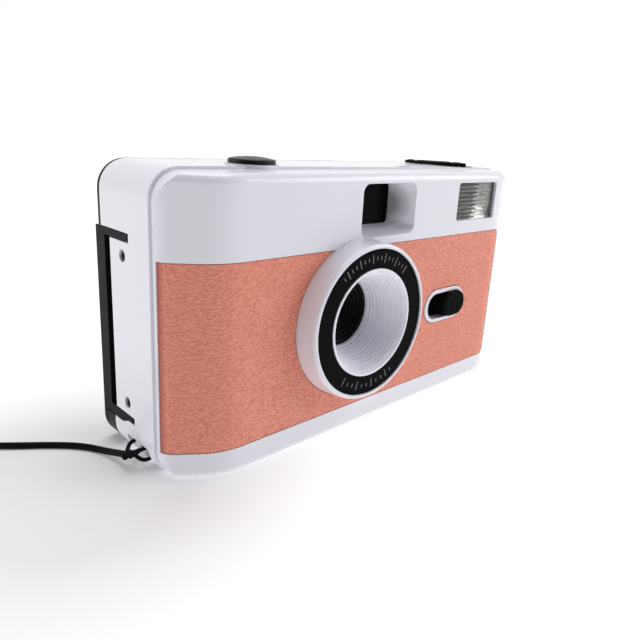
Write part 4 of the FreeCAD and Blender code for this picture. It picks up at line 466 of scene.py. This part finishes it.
def ribbed_window(name, tint, pitch):
    """Clear flash window with cross ribs, painted dark on the left up to a toothed edge as a painted
    reflection, and painted dark at its right side as painted shade.
    """
    material, tree, shader = start_finish(name)
    place = own_place(tree)
    across, upward = part_of(tree, place, "X"), part_of(tree, place, "Z")
    stray = patches(tree, 0.0016, 3.0, (0.4, 1, 1.6))
    level = maths(tree, "MULTIPLY_ADD", stray, 0.0009, upward)
    teeth = maths(tree, "PINGPONG", level, pitch)
    edge = maths(tree, "MULTIPLY_ADD", teeth, 4.0, across)
    # The left part's darkness is a painted dark reflection, and the right side's darkness is painted shade.
    left = ranged(tree, edge, 1.0, 0.0, DARK_REFLECTION_EDGE, DARK_REFLECTION_EDGE + 0.0005)
    inside = ranged(tree, across, 0.0, 1.0, DARK_REFLECTION_START, DARK_REFLECTION_START + 0.0006)
    left = maths(tree, "MULTIPLY", left, inside)
    right = ranged(tree, across, 0.0, 1.0, RIGHT_SHADE_START, RIGHT_SHADE_START + 0.0003)
    painted_dark = maths(tree, "MAXIMUM", left, right)
    streaks = ranged(tree, teeth, 0.0, 1.0, pitch * 0.2, pitch * 0.9)
    clear = mixed(tree, opaque(tint), opaque(tint, 1.12), streaks)
    painted_dark_tone = mixed(tree, opaque(tint, 0.06), opaque(tint, 0.34), streaks)
    tone = mixed(tree, clear, painted_dark_tone, painted_dark)
    surface(tree, shader, tone, ranged(tree, streaks, 0.05, 0.14), streaks, pitch * 0.12)
    let_light_in(tree, shader, 1.35)
    return material


def bright_bowl(name, colour):
    """Bright plated reflector: drawn lines, and a lower part painted dark round small bright dots, as
    painted glints.
    """
    material, tree, shader = start_finish(name)
    tone = mixed(tree, opaque(colour, 0.9), opaque(colour, 1.1), patches(tree, 0.004, 3.0))
    # Below the glints' top the metal is painted dark round the middle of each small cell, so the middles
    # read as painted glints.
    low = ranged(tree, part_of(tree, own_place(tree), "Z"), 1.0, 0.0, GLINTS_TOP, GLINTS_TOP + 0.0010)
    painted_glints = ranged(tree, cells(tree, scaled_place(tree, 0.0010)), 0.0, 0.9, 0.22, 0.42)
    tone = mixed(tree, tone, opaque(colour, 0.3), maths(tree, "MULTIPLY", painted_glints, low))
    lines = patches(tree, 0.0011, 3.0, (0.12, 1, 1))
    surface(tree, shader, tone, ranged(tree, lines, 0.1, 0.25), lines, 0.00006)
    shader.inputs["Metallic"].default_value = 1.0
    return material


def bright_metal(name, colour, roughness, stretch=(1, 1, 1), grain=0.0003):
    """Bare or plated metal with fine lines where it was rolled or drawn."""
    material, tree, shader = start_finish(name)
    tone = mixed(tree, opaque(colour, 0.88), opaque(colour, 1.05), patches(tree, 0.006, 4.0))
    lines = patches(tree, grain, 3.0, stretch)
    rough = ranged(tree, lines, roughness * 0.7, roughness * 1.5, 0.25, 0.75)
    surface(tree, shader, tone, rough, lines, 0.000004, 0.0001)
    shader.inputs["Metallic"].default_value = 1.0
    return material


def braided_string(name, colour, width):
    """Round braided string: two sets of strands that cross, read along and around the string."""
    material, tree, shader = start_finish(name)
    place = put(tree, "TexCoord").outputs["UV"]
    along, around = part_of(tree, place, "X"), part_of(tree, place, "Y")
    sets = []
    for lean in (5.0, -5.0):
        slant = maths(tree, "MULTIPLY_ADD", around, lean, along)
        sets.append(maths(tree, "SINE", maths(tree, "MULTIPLY", slant, math.pi)))
    height = ranged(tree, maths(tree, "MULTIPLY", *sets), 0.0, 1.0, -1.0, 1.0)
    fibres = patches(tree, width * 0.12, 2.0)
    height = maths(tree, "MULTIPLY_ADD", fibres, 0.25, height)
    # The strands are painted darker in the grooves between them and paler on their crowns, as painted shade
    # and light.
    tone = mixed(tree, opaque(colour, 0.4), opaque(colour, 1.5), height)
    surface(tree, shader, tone, ranged(tree, height, 0.70, 0.5), height, width * 0.05)
    shader.inputs["Specular IOR Level"].default_value = 0.08
    return material


def foam_strip(name, colour):
    """Open black foam."""
    material, tree, shader = start_finish(name)
    pores = cells(tree, scaled_place(tree, 0.00035))
    # The foam is painted darker in the middle of each pore, as painted shade.
    tone = mixed(tree, opaque(colour, 0.5), opaque(colour, 1.6), pores)
    surface(tree, shader, tone, ranged(tree, pores, 0.95, 0.8), pores, 0.0001)
    return material


def etched_board(name, colour):
    """Green board with paler tracks under its lacquer."""
    material, tree, shader = start_finish(name)
    edge = cells(tree, scaled_place(tree, 0.0035), "DISTANCE_TO_EDGE")
    track = ranged(tree, edge, 1.0, 0.0, 0.10, 0.16)
    tone = mixed(tree, opaque(colour), opaque([c * 1.7 + 0.02 for c in colour]), track)
    surface(tree, shader, tone, ranged(tree, patches(tree, 0.004), 0.25, 0.4), track, 0.00003)
    return material


def dress(material, *names):
    """Give CAD nodes a finish."""
    for name in names:
        for place in nodes[name].material_slots:
            place.material = material


def add_piece(name, points, faces, material, body, rings=None):
    """A new mesh piece that rides on a body; rings holds each point's place along and around a string."""
    mesh = bpy.data.meshes.new(name)
    mesh.from_pydata(points, [], faces)
    if rings:
        layer = mesh.uv_layers.new(name="Along")
        for loop in mesh.loops:
            layer.data[loop.index].uv = rings[loop.vertex_index]
    mesh.materials.append(material)
    mesh.shade_smooth()
    mesh.update()
    piece = bpy.data.objects.new(name, mesh)
    bpy.context.scene.collection.objects.link(piece)
    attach(piece, body)
    return piece


def smooth_route(route):
    """The points along the NURBS line of a route's control points."""
    curve = bpy.data.curves.new("route", "CURVE")
    curve.dimensions = "3D"
    line = curve.splines.new("NURBS")
    line.points.add(len(route) - 1)
    for point, place in zip(line.points, route):
        point.co = (*place, 1.0)
    line.order_u = 3
    line.use_endpoint_u = True
    line.resolution_u = 10
    holder = bpy.data.objects.new("route", curve)
    mesh = bpy.data.meshes.new_from_object(holder)
    points = [vertex.co.copy() for vertex in mesh.vertices]
    bpy.data.meshes.remove(mesh)
    bpy.data.objects.remove(holder)
    bpy.data.curves.remove(curve)
    return points


def distances(points):
    """How far along the line each point is."""
    along = [0.0]
    for before, after in zip(points, points[1:]):
        along.append(along[-1] + (after - before).length)
    return along


def sides_of(points):
    """Two directions across the line at each point, which turn as little as they can."""
    across = Vector((0, 0, 1))
    pairs = []
    for i in range(len(points)):
        ahead = (points[min(i + 1, len(points) - 1)] - points[max(i - 1, 0)]).normalized()
        across = (across - ahead * across.dot(ahead)).normalized()
        pairs.append((across.copy(), ahead.cross(across)))
    return pairs


def string_mesh(points, radius, sides=10, start=0):
    """One closed round string: its points, its faces, and each point's place along and around it."""
    places, faces, rings = [], [], []
    along = distances(points)
    for point, far, (across, other) in zip(points, along, sides_of(points)):
        for k in range(sides):
            angle = 2 * math.pi * k / sides
            places.append(point + (across * math.cos(angle) + other * math.sin(angle)) * radius)
            rings.append((far / radius, k / sides * 2))
    last = len(points) - 1
    for i in range(last):
        for k in range(sides):
            following = (k + 1) % sides
            row = start + i * sides
            faces.append((row + k, row + following, row + sides + following, row + sides + k))
    faces.append(tuple(start + k for k in reversed(range(sides))))
    faces.append(tuple(start + last * sides + k for k in range(sides)))
    return places, faces, rings


def strings_piece(name, routes, radius, material, body):
    """Several strings as one piece."""
    points, faces, rings = [], [], []
    for route in routes:
        more = string_mesh(route, radius, start=len(points))
        points += more[0]
        faces += more[1]
        rings += more[2]
    return add_piece(name, points, faces, material, body, rings)


def overhand(middle, size, ahead):
    """The line of a tight overhand knot about a point, lying across a direction."""
    across = Vector((0, 0, 1)).cross(ahead).normalized()
    up = ahead.cross(across).normalized()
    points = []
    for i in range(KNOT_STEPS + 1):
        turn = 2 * math.pi * i / KNOT_STEPS
        u = math.sin(turn) + 2 * math.sin(2 * turn)
        v = math.cos(turn) - 2 * math.cos(2 * turn)
        w = -math.sin(3 * turn)
        points.append(middle + (across * u + ahead * v) * size / 3 + up * w * size * 0.55)
    return points


def flat_way(angle):
    """A direction along the table."""
    return Vector((math.cos(angle), math.sin(angle), 0))


def coil_points():
    """Control points of the put-away coil: half turns that each draw in a little, then a last quarter."""
    end, before = Vector(LINE[-1]), Vector(LINE[-2])
    heading = (end - before).normalized()
    inward = Vector((-heading.y, heading.x, 0))
    spread = 1 / math.cos(math.pi / COIL_POINTS / 2)
    route = []
    place, radius = end, COIL_RADIUS
    for _ in range(COIL_HALF_TURNS):
        centre = place + inward * radius
        start = math.atan2(-inward.y, -inward.x)
        for k in range(1, COIL_POINTS + 1):
            angle = start + math.pi * (k - 0.5) / COIL_POINTS
            route.append(tuple(centre + flat_way(angle) * radius * spread))
        place = centre + inward * radius
        inward = -inward
        radius -= COIL_STEP
    centre = place + inward * COIL_LAST_RADIUS
    start = math.atan2(-inward.y, -inward.x)
    quarter = COIL_POINTS // 2
    for k in range(1, quarter + 1):
        angle = start + math.pi / 2 * k / quarter
        route.append(tuple(centre + flat_way(angle) * COIL_LAST_RADIUS))
    return route


class SetStage(bpy.types.Operator):
    """Set the viewpoint, the lamps and the pale floor"""

    bl_idname = "filmcamera.set_stage"
    bl_label = "Stage"

    def execute(self, context):
        scene = context.scene
        scene.view_settings.view_transform = "Standard"
        self.set_viewpoint(scene)
        for name, (place, size, power) in LAMPS.items():
            self.add_lamp(scene, name, place, size, power)
        self.light_room(scene)
        self.lay_floor(scene)
        return {"FINISHED"}

    def set_viewpoint(self, scene):
        """The photograph's viewpoint: its place, its turn and its lens."""
        lens = bpy.data.cameras.new("Viewpoint")
        lens.lens = VIEW_LENS
        lens.sensor_width = VIEW_SENSOR
        lens.shift_x, lens.shift_y = VIEW_SHIFT
        lens.clip_start = 0.005
        viewpoint = bpy.data.objects.new("Viewpoint", lens)
        back = VIEW_RIGHT.cross(VIEW_UP)
        turn = Matrix((VIEW_RIGHT, VIEW_UP, back)).transposed().to_4x4()
        viewpoint.matrix_world = Matrix.Translation(VIEW_PLACE) @ turn
        scene.collection.objects.link(viewpoint)
        scene.camera = viewpoint

    def add_lamp(self, scene, name, place, size, power):
        data = bpy.data.lights.new(name, "AREA")
        data.shape = "SQUARE"
        data.size = size
        data.energy = power
        lamp = bpy.data.objects.new(name, data)
        lamp.location = place
        lamp.rotation_euler = (LAMPS_AIM - Vector(place)).to_track_quat("-Z", "Y").to_euler()
        scene.collection.objects.link(lamp)

    def seen_rays(self, tree):
        """1 for what the viewpoint sees, itself or in gloss and glass."""
        path = put(tree, "LightPath").outputs
        seen = maths(tree, "MAXIMUM", path["Is Camera Ray"], path["Is Glossy Ray"])
        return maths(tree, "MAXIMUM", seen, path["Is Transmission Ray"])

    def light_room(self, scene):
        """A white room with a grey screen behind the viewer, which the viewer doesn't see directly."""
        world = bpy.data.worlds.new("Pale room")
        world.use_nodes = True
        tree = world.node_tree
        path = put(tree, "LightPath").outputs
        shown = maths(tree, "MAXIMUM", path["Is Camera Ray"], path["Is Transmission Ray"])
        way = vector_maths(tree, "NORMALIZE", put(tree, "TexCoord").outputs["Generated"])
        toward = vector_maths(tree, "DOT_PRODUCT", way, SCREEN_WAY, result="Value")
        room = ranged(tree, self.seen_rays(tree), ROOM_LIGHT, 1.0)
        screened = ranged(tree, toward, 1.0, SCREEN_LIGHT, 0.40, 0.90)
        strength = maths(tree, "MULTIPLY", room, screened)
        strength = maths(tree, "MAXIMUM", strength, shown)
        tree.links.new(strength, tree.nodes["Background"].inputs["Strength"])
        cool = ranged(tree, toward, 0.0, 1.0, -0.1, 0.7)
        cool = maths(tree, "SUBTRACT", cool, shown, use_clamp=True)
        tone = mixed(tree, opaque(ROOM_WHITE), opaque(ROOM_COOL), cool)
        tree.links.new(tone, tree.nodes["Background"].inputs["Color"])
        scene.world = world

    def lay_floor(self, scene):
        """A pale table that glows white as painted light away from the case's left end, hiding the case's
        shadow there.
        """
        material, tree, shader = start_finish("Pale table")
        colour = colours().floor
        tone = mixed(tree, opaque(colour, 0.99), opaque(colour), patches(tree, 0.2))
        tree.links.new(tone, shader.inputs["Base Color"])
        shader.inputs["Roughness"].default_value = 0.6
        shader.inputs["Specular IOR Level"].default_value = 0.1
        far = vector_maths(tree, "DISTANCE", own_place(tree), GLOW_MIDDLE, result="Value")
        glow_share = ranged(tree, far, 0.12, 1.0, GLOW_START, GLOW_END)
        # Rays that light the case also see most of the glow, so the table lights the case from below as
        # painted light.
        share = ranged(tree, self.seen_rays(tree), 0.85, glow_share)
        lit = put(tree, "Emission", {"Color": opaque(ROOM_WHITE), "Strength": 1.2}).outputs[0]
        show_both(tree, share, shader.outputs[0], lit)
        mesh = bpy.data.meshes.new("Table")
        half = TABLE_WIDTH / 2
        corners = [(-half, -half, 0), (half, -half, 0), (half, half, 0), (-half, half, 0)]
        mesh.from_pydata(corners, [], [(0, 1, 2, 3)])
        mesh.materials.append(material)
        floor = bpy.data.objects.new("Table", mesh)
        floor.location.z = -0.00002
        scene.collection.objects.link(floor)


class LayLanyard(bpy.types.Operator):
    """Lay the doubled wrist string, its hitch and its knots"""

    bl_idname = "filmcamera.lay_lanyard"
    bl_label = "Lanyard"

    def execute(self, context):
        string = sizes().string
        material = braided_string("Braided string", colours().string, string)
        path = smooth_route(LINE + coil_points())
        lanyard = strings_piece(
            "lanyard_strings", self.strands(path), string / 2, material, "case"
        )
        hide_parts("lanyard_line", "lanyard_coil")
        ahead = (path[-1] - path[-2]).normalized()
        middle = path[-1] + ahead * END_KNOT_AHEAD
        middle.z = END_KNOT_HEIGHT
        last = overhand(middle, END_KNOT_SIZE, ahead)
        tie = strings_piece("lanyard_end_knot", [last], string * 0.45, material, "case")
        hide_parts("lanyard_end")
        away = (Vector(LINE[1]) - Vector(KNOT)).normalized()
        knot = overhand(Vector(KNOT), KNOT_SIZE, away)
        loops = [smooth_route(UPPER_LOOP), smooth_route(LOWER_LOOP), knot]
        hitch = strings_piece("lanyard_hitch_loops", loops, string / 2, material, "case")
        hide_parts("lanyard_hitch")
        return {"FINISHED"}

    def strands(self, path):
        """The lines of the two strings, side by side along a path, leaning over and back."""
        offset = (LANYARD_WIDTH - sizes().string) / 2
        lines = ([], [])
        for point, far, (across, other) in zip(path, distances(path), sides_of(path)):
            angle = 0.5 + 0.45 * math.sin(2 * math.pi * far / sizes().lay)
            aside = (across * math.cos(angle) + other * math.sin(angle)) * offset
            lines[0].append(point + aside)
            lines[1].append(point - aside)
        return lines


class FinishShell(bpy.types.Operator):
    """Finish the white cover, bezel and battery door, and the black film body"""

    bl_idname = "filmcamera.finish_shell"
    bl_label = "Shell"

    def execute(self, context):
        white = moulded_plastic(
            "White gloss plastic",
            colours().white,
            roughness=0.22,
            grain=0.004,
            depth=0.000002,
            wear=0.0,
            rounding=0.0002,
        )
        self.shade_recess(white.node_tree)
        shader = white.node_tree.nodes["Principled BSDF"]
        shader.inputs["Coat Weight"].default_value = 0.25
        shader.inputs["Coat Roughness"].default_value = 0.12
        dress(white, "front_cover", "switch_bezel", "battery_door")
        black = moulded_plastic(
            "Black satin plastic", colours().black, roughness=0.42, shine=0.1, grain=0.0005
        )
        dress(black, "chassis", "finder_tube", "rewind_release")
        return {"FINISHED"}

    def shade_recess(self, tree):
        """The viewfinder's recess is painted greyer, as painted shade, the nearer it is to the dark window.
        """
        shader = tree.nodes["Principled BSDF"]
        low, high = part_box("finder_window")
        place = own_place(tree)
        way = vector_maths(tree, "SUBTRACT", place, (low + high) / 2)
        way = vector_maths(tree, "MULTIPLY", way, RECESS_STRETCH)
        far = vector_maths(tree, "LENGTH", way, result="Value")
        near = ranged(tree, far, 1.0, 0.0, RECESS_DARK, RECESS_CLEAR)
        under_top = ranged(tree, part_of(tree, place, "Z"), 1.0, 0.0, RECESS_TOP, RECESS_TOP + 0.0004)
        share = maths(tree, "MULTIPLY", near, under_top)
        tone = shader.inputs["Base Color"].links[0].from_socket
        grey = mixed(tree, tone, opaque(colours().white, 0.22), share)
        tree.links.new(grey, shader.inputs["Base Color"])


class CoverFront(bpy.types.Operator):
    """Cover the front with coral leatherette"""

    bl_idname = "filmcamera.cover_front"
    bl_label = "Leatherette"

    def execute(self, context):
        cloth = leathercloth("Coral leatherette", colours().coral, sizes().grain, sizes().grain_depth)
        dress(cloth, "leatherette")
        return {"FINISHED"}


class FitLens(bpy.types.Operator):
    """Finish the ring, funnel, cell and lens, and print the ring's marks"""

    bl_idname = "filmcamera.fit_lens"
    bl_label = "Lens"

    def execute(self, context):
        ring = moulded_plastic(
            "Ring black", colours().ring, roughness=0.5, shine=0.025, depth=0.000005, wear=0.1
        )
        dress(ring, "lens_ring")
        paler = [min(1.0, c * 1.09) for c in colours().white]
        funnel = moulded_plastic(
            "Funnel white",
            paler,
            roughness=0.4,
            shine=0.35,
            grain=0.0008,
            depth=0.000005,
            wear=0.15,
            rounding=0.00008,
        )
        dress(funnel, "lens_funnel")
        cell = moulded_plastic(
            "Cell black", colours().ring, roughness=0.3, shine=0.1, depth=0.000004, wear=0.3
        )
        dress(cell, "lens_cell")
        dress(clear_plastic("Coated lens", COATED, roughness=0.015), "front_lens")
        marks = moulded_plastic(
            "Mark grey", colours().marks, roughness=0.55, shine=0.2, depth=0.000004, wear=0.0
        )
        self.print_marks(marks)
        return {"FINISHED"}

    def print_marks(self, material):
        """Two rows of short marks on the ring, each third one longer, as thin raised ink."""
        points, faces = [], []
        count = sizes().marks
        for (middle, span), number in ((UPPER_ROW, count), (LOWER_ROW, max(3, count * 2 // 3))):
            for i in range(number):
                angle = math.radians(middle - span / 2 + span * i / (number - 1))
                inner, outer = LONG_MARK if i % 3 == 0 else SHORT_MARK
                self.add_mark(points, faces, angle, inner, outer)
        add_piece("lens_ring_marks", points, faces, material, "case")

    def add_mark(self, points, faces, angle, inner, outer):
        """One mark with round ends, from an inner to an outer radius."""
        first = len(points)
        out = Vector((math.cos(angle), 0, math.sin(angle)))
        side = Vector((-math.sin(angle), 0, math.cos(angle)))
        width = sizes().mark / 2
        outline = []
        for end, way in ((outer - width, 1), (inner + width, -1)):
            for k in range(MARK_END_POINTS):
                turn = math.pi * k / (MARK_END_POINTS - 1)
                across, beyond = width * math.cos(turn), width * math.sin(turn)
                outline.append(out * (end + way * beyond) + side * (way * across))
        total = len(outline)
        for depth in (MARK_FOOT, -MARK_HEIGHT):
            middle = Vector((LENS_AXIS.x, RING_FRONT + depth, LENS_AXIS.z))
            points += [middle + place for place in outline]
        faces.append(tuple(first + total + k for k in reversed(range(total))))
        for k in range(total):
            here, following = first + k, first + (k + 1) % total
            faces.append((here, here + total, following + total, following))


class FitFinder(bpy.types.Operator):
    """Finish the viewfinder's window and eyepiece"""

    bl_idname = "filmcamera.fit_finder"
    bl_label = "Viewfinder"

    def execute(self, context):
        # The window's dark tint is painted shade, standing for the dark finder tube behind it.
        window = clear_plastic("Finder window", SHADED_CLEAR, roughness=0.03, bend=1.10)
        dress(window, "finder_window")
        dress(clear_plastic("Eyepiece", EYEPIECE, roughness=0.02), "finder_eyepiece")
        return {"FINISHED"}


class FitFlash(bpy.types.Operator):
    """Finish the flash window, reflector, tube, capacitor, board and lamp"""

    bl_idname = "filmcamera.fit_flash"
    bl_label = "Flash"

    def execute(self, context):
        dress(ribbed_window("Flash window", FLASH_CLEAR, RIB_PITCH), "flash_window")
        dress(bright_bowl("Bright reflector", REFLECTOR), "flash_reflector")
        dress(clear_plastic("Tube glass", TUBE_GLASS, roughness=0.02), "flash_tube")
        dress(moulded_plastic("Black sleeve", SLEEVE, roughness=0.25, wear=0.1), "flash_capacitor")
        dress(etched_board("Green board", BOARD_GREEN), "circuit_board")
        dress(clear_plastic("Red lamp", LAMP_RED, roughness=0.12), "ready_lamp")
        return {"FINISHED"}


class FitSwitch(bpy.types.Operator):
    """Finish the flash switch and its floor"""

    bl_idname = "filmcamera.fit_switch"
    bl_label = "Flash switch"

    def execute(self, context):
        knob = moulded_plastic(
            "Ribbed knob black", colours().black, roughness=0.45, shine=0.03, wear=0.3, rounding=0.0002
        )
        dress(knob, "switch_knob", "switch_base")
        return {"FINISHED"}


class FitShutter(bpy.types.Operator):
    """Finish the release button, lever, blade and plates, and wind their springs"""

    bl_idname = "filmcamera.fit_shutter"
    bl_label = "Shutter"

    def execute(self, context):
        gloss = moulded_plastic(
            "Black gloss plastic",
            colours().black,
            roughness=0.32,
            shine=0.16,
            grain=0.0006,
            depth=0.000002,
            wear=0.15,
            rounding=0.0002,
        )
        dress(gloss, "shutter_button")
        sheet = bright_metal("Stamped steel", STEEL, roughness=0.32, stretch=LINES_ACROSS, grain=0.0004)
        dress(sheet, "shutter_blade", "release_lever")
        matt = moulded_plastic("Black matt plastic", colours().black, roughness=0.6, shine=0.15)
        dress(matt, "shutter_plate", "shutter_guard")
        leaf = bright_metal("Leaf steel", LEAF_STEEL, roughness=0.28, stretch=LINES_ACROSS)
        dress(leaf, "pressure_spring")
        wire = bright_metal("Spring wire", WIRE, roughness=0.22, grain=0.0002)
        dress(wire, "hinge_pins")
        self.wind("button_spring", wire, turns=4, width=0.0003, joint="button_slide", keep=0.49)
        self.wind(
            "release_spring", wire, turns=4, width=0.00024, joint="release_slide", keep=0.56, from_top=True
        )
        self.wind("latch_spring", wire, turns=9, width=0.00018, joint="latch_slide", keep=0.44)
        self.wind("shutter_spring", wire, turns=1.5, width=0.00018, upright=False)
        return {"FINISHED"}

    def wind(self, node, material, turns, width, joint=None, keep=1.0, from_top=False, upright=True):
        """A wound wire in place of a spring's plain tube, upright or from front to back."""
        low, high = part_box(node)
        middle = (low + high) / 2
        radius = (high.x - low.x) / 2 - width / 2
        axis = 2 if upright else 1
        start, rise = low[axis] + width / 2, high[axis] - low[axis] - width
        steps = int(turns * WIRE_POINTS)
        points = []
        for i in range(steps + 1):
            angle = 2 * math.pi * turns * i / steps
            lift = start + rise * i / steps
            u, v = radius * math.cos(angle), radius * math.sin(angle)
            if upright:
                points.append(Vector((middle.x + u, middle.y + v, lift)))
            else:
                points.append(Vector((middle.x + u, lift, middle.z + v)))
        spring = strings_piece(node + "_wire", [points], width / 2, material, "case")
        if joint:
            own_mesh(spring)
        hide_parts(node)


class FitFilmPath(bpy.types.Operator):
    """Finish the wheel, spool, sprocket and counter, and number the counter's dial"""

    bl_idname = "filmcamera.fit_film_path"
    bl_label = "Film path"

    def execute(self, context):
        black = moulded_plastic(
            "Wheel black", colours().black, roughness=0.46, shine=0.18, grain=0.0005, wear=0.35
        )
        dress(black, "thumb_wheel", "takeup_spool", "sprocket_shaft")
        white = moulded_plastic(
            "Dial white", DIAL_WHITE, roughness=0.45, shine=0.4, grain=0.0005, depth=0.000004, wear=0.1
        )
        dress(white, "counter_dial")
        dress(clear_plastic("Counter window", COUNTER_CLEAR, roughness=0.02), "counter_window")
        ink = moulded_plastic("Dial ink", INK_BLACK, roughness=0.5, shine=0.3, depth=0.000002, wear=0.0)
        self.number_dial(ink)
        return {"FINISHED"}

    def number_dial(self, material):
        """A number for every sixth frame, and a dot for every second one between."""
        points, faces = [], []
        for number in range(0, LAST_FRAME + 1, 2):
            angle = math.radians(DIAL_STEP * number - 90)
            out = Vector((math.cos(angle), math.sin(angle), 0))
            side = Vector((-out.y, out.x, 0))
            place = DIAL_CENTRE + out * NUMBERS_RADIUS + Vector((0, 0, DIAL_INK))
            first = len(points)
            if number % 6 == 0:
                flat = self.figure(str(number))
                points += [place + side * v.co.x + out * -v.co.y for v in flat.vertices]
                faces += [tuple(first + k for k in p.vertices) for p in flat.polygons]
                bpy.data.meshes.remove(flat)
            else:
                for k in range(DOT_SIDES):
                    turn = 2 * math.pi * k / DOT_SIDES
                    points.append(place + (out * math.cos(turn) + side * math.sin(turn)) * DOT_RADIUS)
                faces.append(tuple(first + k for k in range(DOT_SIDES)))
        add_piece("counter_numbers", points, faces, material, "counter")

    def figure(self, text):
        """A flat mesh of a number, upright about the origin."""
        curve = bpy.data.curves.new("figure", "FONT")
        curve.body = text
        curve.size = FIGURE_SIZE
        curve.align_x = "CENTER"
        curve.align_y = "CENTER"
        holder = bpy.data.objects.new("figure", curve)
        mesh = bpy.data.meshes.new_from_object(holder)
        bpy.data.objects.remove(holder)
        bpy.data.curves.remove(curve)
        return mesh


class FitRewind(bpy.types.Operator):
    """Finish the rewind knob and its folding crank"""

    bl_idname = "filmcamera.fit_rewind"
    bl_label = "Rewind"

    def execute(self, context):
        black = colours().black
        gloss = moulded_plastic(
            "Crank black", black, roughness=0.38, shine=0.12, grain=0.0005, depth=0.000004, wear=0.25
        )
        dress(gloss, "rewind_knob", "rewind_crank")
        return {"FINISHED"}


class FitBattery(bpy.types.Operator):
    """Finish the cell and its contacts"""

    bl_idname = "filmcamera.fit_battery"
    bl_label = "Battery"

    def execute(self, context):
        wrap = bright_metal("Plain cell wrap", WRAP_GREY, roughness=0.3, stretch=LINES_UP, grain=0.0006)
        dress(wrap, "battery")
        nickel = bright_metal("Nickel plate", NICKEL, roughness=0.2, stretch=(0.2, 1, 1))
        dress(nickel, "battery_top_contact", "battery_door_contact")
        return {"FINISHED"}


class FitBack(bpy.types.Operator):
    """Finish the back door, its plate, seal and latch, and add its lips"""

    bl_idname = "filmcamera.fit_back"
    bl_label = "Back door"

    def execute(self, context):
        door = moulded_plastic(
            "Door black",
            colours().black,
            roughness=0.5,
            shine=0.07,
            grain=0.0007,
            depth=0.00001,
            wear=0.15,
            rounding=0.0002,
        )
        dress(door, "back_door", "door_latch")
        plate = moulded_plastic(
            "Plate black", PLATE_BLACK, roughness=0.35, shine=0.4, depth=0.000003, wear=0.4
        )
        dress(plate, "pressure_plate")
        dress(foam_strip("Foam strip", FOAM), "light_seal")
        self.add_lips(door)
        return {"FINISHED"}

    def add_lips(self, material):
        """Lips on the door's upper edge that cover the tops of the three film chambers."""
        points, faces = [], []
        for left, right in LIP_ENDS:
            first = len(points)
            lower = LIP_TOP - LIP_CORNER
            inset = LIP_CORNER + LIP_SKEW
            for x, top in ((left, lower), (left + inset, LIP_TOP), (right - inset, LIP_TOP), (right, lower)):
                points += [Vector((x, y, z)) for y, z in self.lip_outline(top)]
            sides = len(self.lip_outline(LIP_TOP))
            for row in range(first, len(points) - sides, sides):
                for k in range(sides):
                    here, following = row + k, row + (k + 1) % sides
                    faces.append((here, here + sides, following + sides, following))
            faces.append(tuple(range(first, first + sides)))
            faces.append(tuple(reversed(range(len(points) - sides, len(points)))))
        lips = add_piece("back_door_lips", points, faces, material, "door")
        lips.data.shade_flat()

    def lip_outline(self, top):
        """A lip's outline from the side, with its two upper corners cut off."""
        return (
            (LIP_FRONT, LIP_FOOT),
            (LIP_FRONT, top - LIP_CORNER),
            (LIP_FRONT + LIP_CORNER - LIP_SKEW, top),
            (LIP_REAR - LIP_CORNER, top),
            (LIP_REAR, top - LIP_CORNER - LIP_SKEW),
            (LIP_REAR, LIP_FOOT),
        )


class FitScrews(bpy.types.Operator):
    """Finish the small black screws"""

    bl_idname = "filmcamera.fit_screws"
    bl_label = "Screws"

    def execute(self, context):
        oxide = moulded_plastic(
            "Black oxide", OXIDE, roughness=0.32, grain=0.0003, depth=0.000003, wear=0.6, rounding=0.00008
        )
        oxide.node_tree.nodes["Principled BSDF"].inputs["Metallic"].default_value = 0.6
        dress(oxide, "side_screws", "rear_screws", "base_screws")
        return {"FINISHED"}


STEPS = (
    SetStage,
    LayLanyard,
    FinishShell,
    CoverFront,
    FitLens,
    FitFinder,
    FitFlash,
    FitSwitch,
    FitShutter,
    FitFilmPath,
    FitRewind,
    FitBattery,
    FitBack,
    FitScrews,
)


class FilmCameraPanel(bpy.types.Panel):
    """The film camera's sizes, colours and steps"""

    bl_idname = "FILMCAMERA_PT_finishes"
    bl_label = "Film Camera"
    bl_space_type = "VIEW_3D"
    bl_region_type = "UI"
    bl_category = "Film Camera"

    def draw(self, context):
        layout = self.layout
        for group in (context.scene.film_camera_sizes, context.scene.film_camera_colours):
            for name in group.__annotations__:
                layout.prop(group, name)
        for step in STEPS:
            layout.operator(step.bl_idname)


CLASSES = (FilmCameraColours, FilmCameraSizes, *STEPS, FilmCameraPanel)


def register():
    for each in CLASSES:
        bpy.utils.register_class(each)
    bpy.types.Scene.film_camera_colours = PointerProperty(type=FilmCameraColours)
    bpy.types.Scene.film_camera_sizes = PointerProperty(type=FilmCameraSizes)


def unregister():
    del bpy.types.Scene.film_camera_sizes
    del bpy.types.Scene.film_camera_colours
    for each in reversed(CLASSES):
        bpy.utils.unregister_class(each)


def main():
    register()
    for step in STEPS:
        group, name = step.bl_idname.split(".")
        getattr(getattr(bpy.ops, group), name)()


if __name__ == "__main__":
    main()
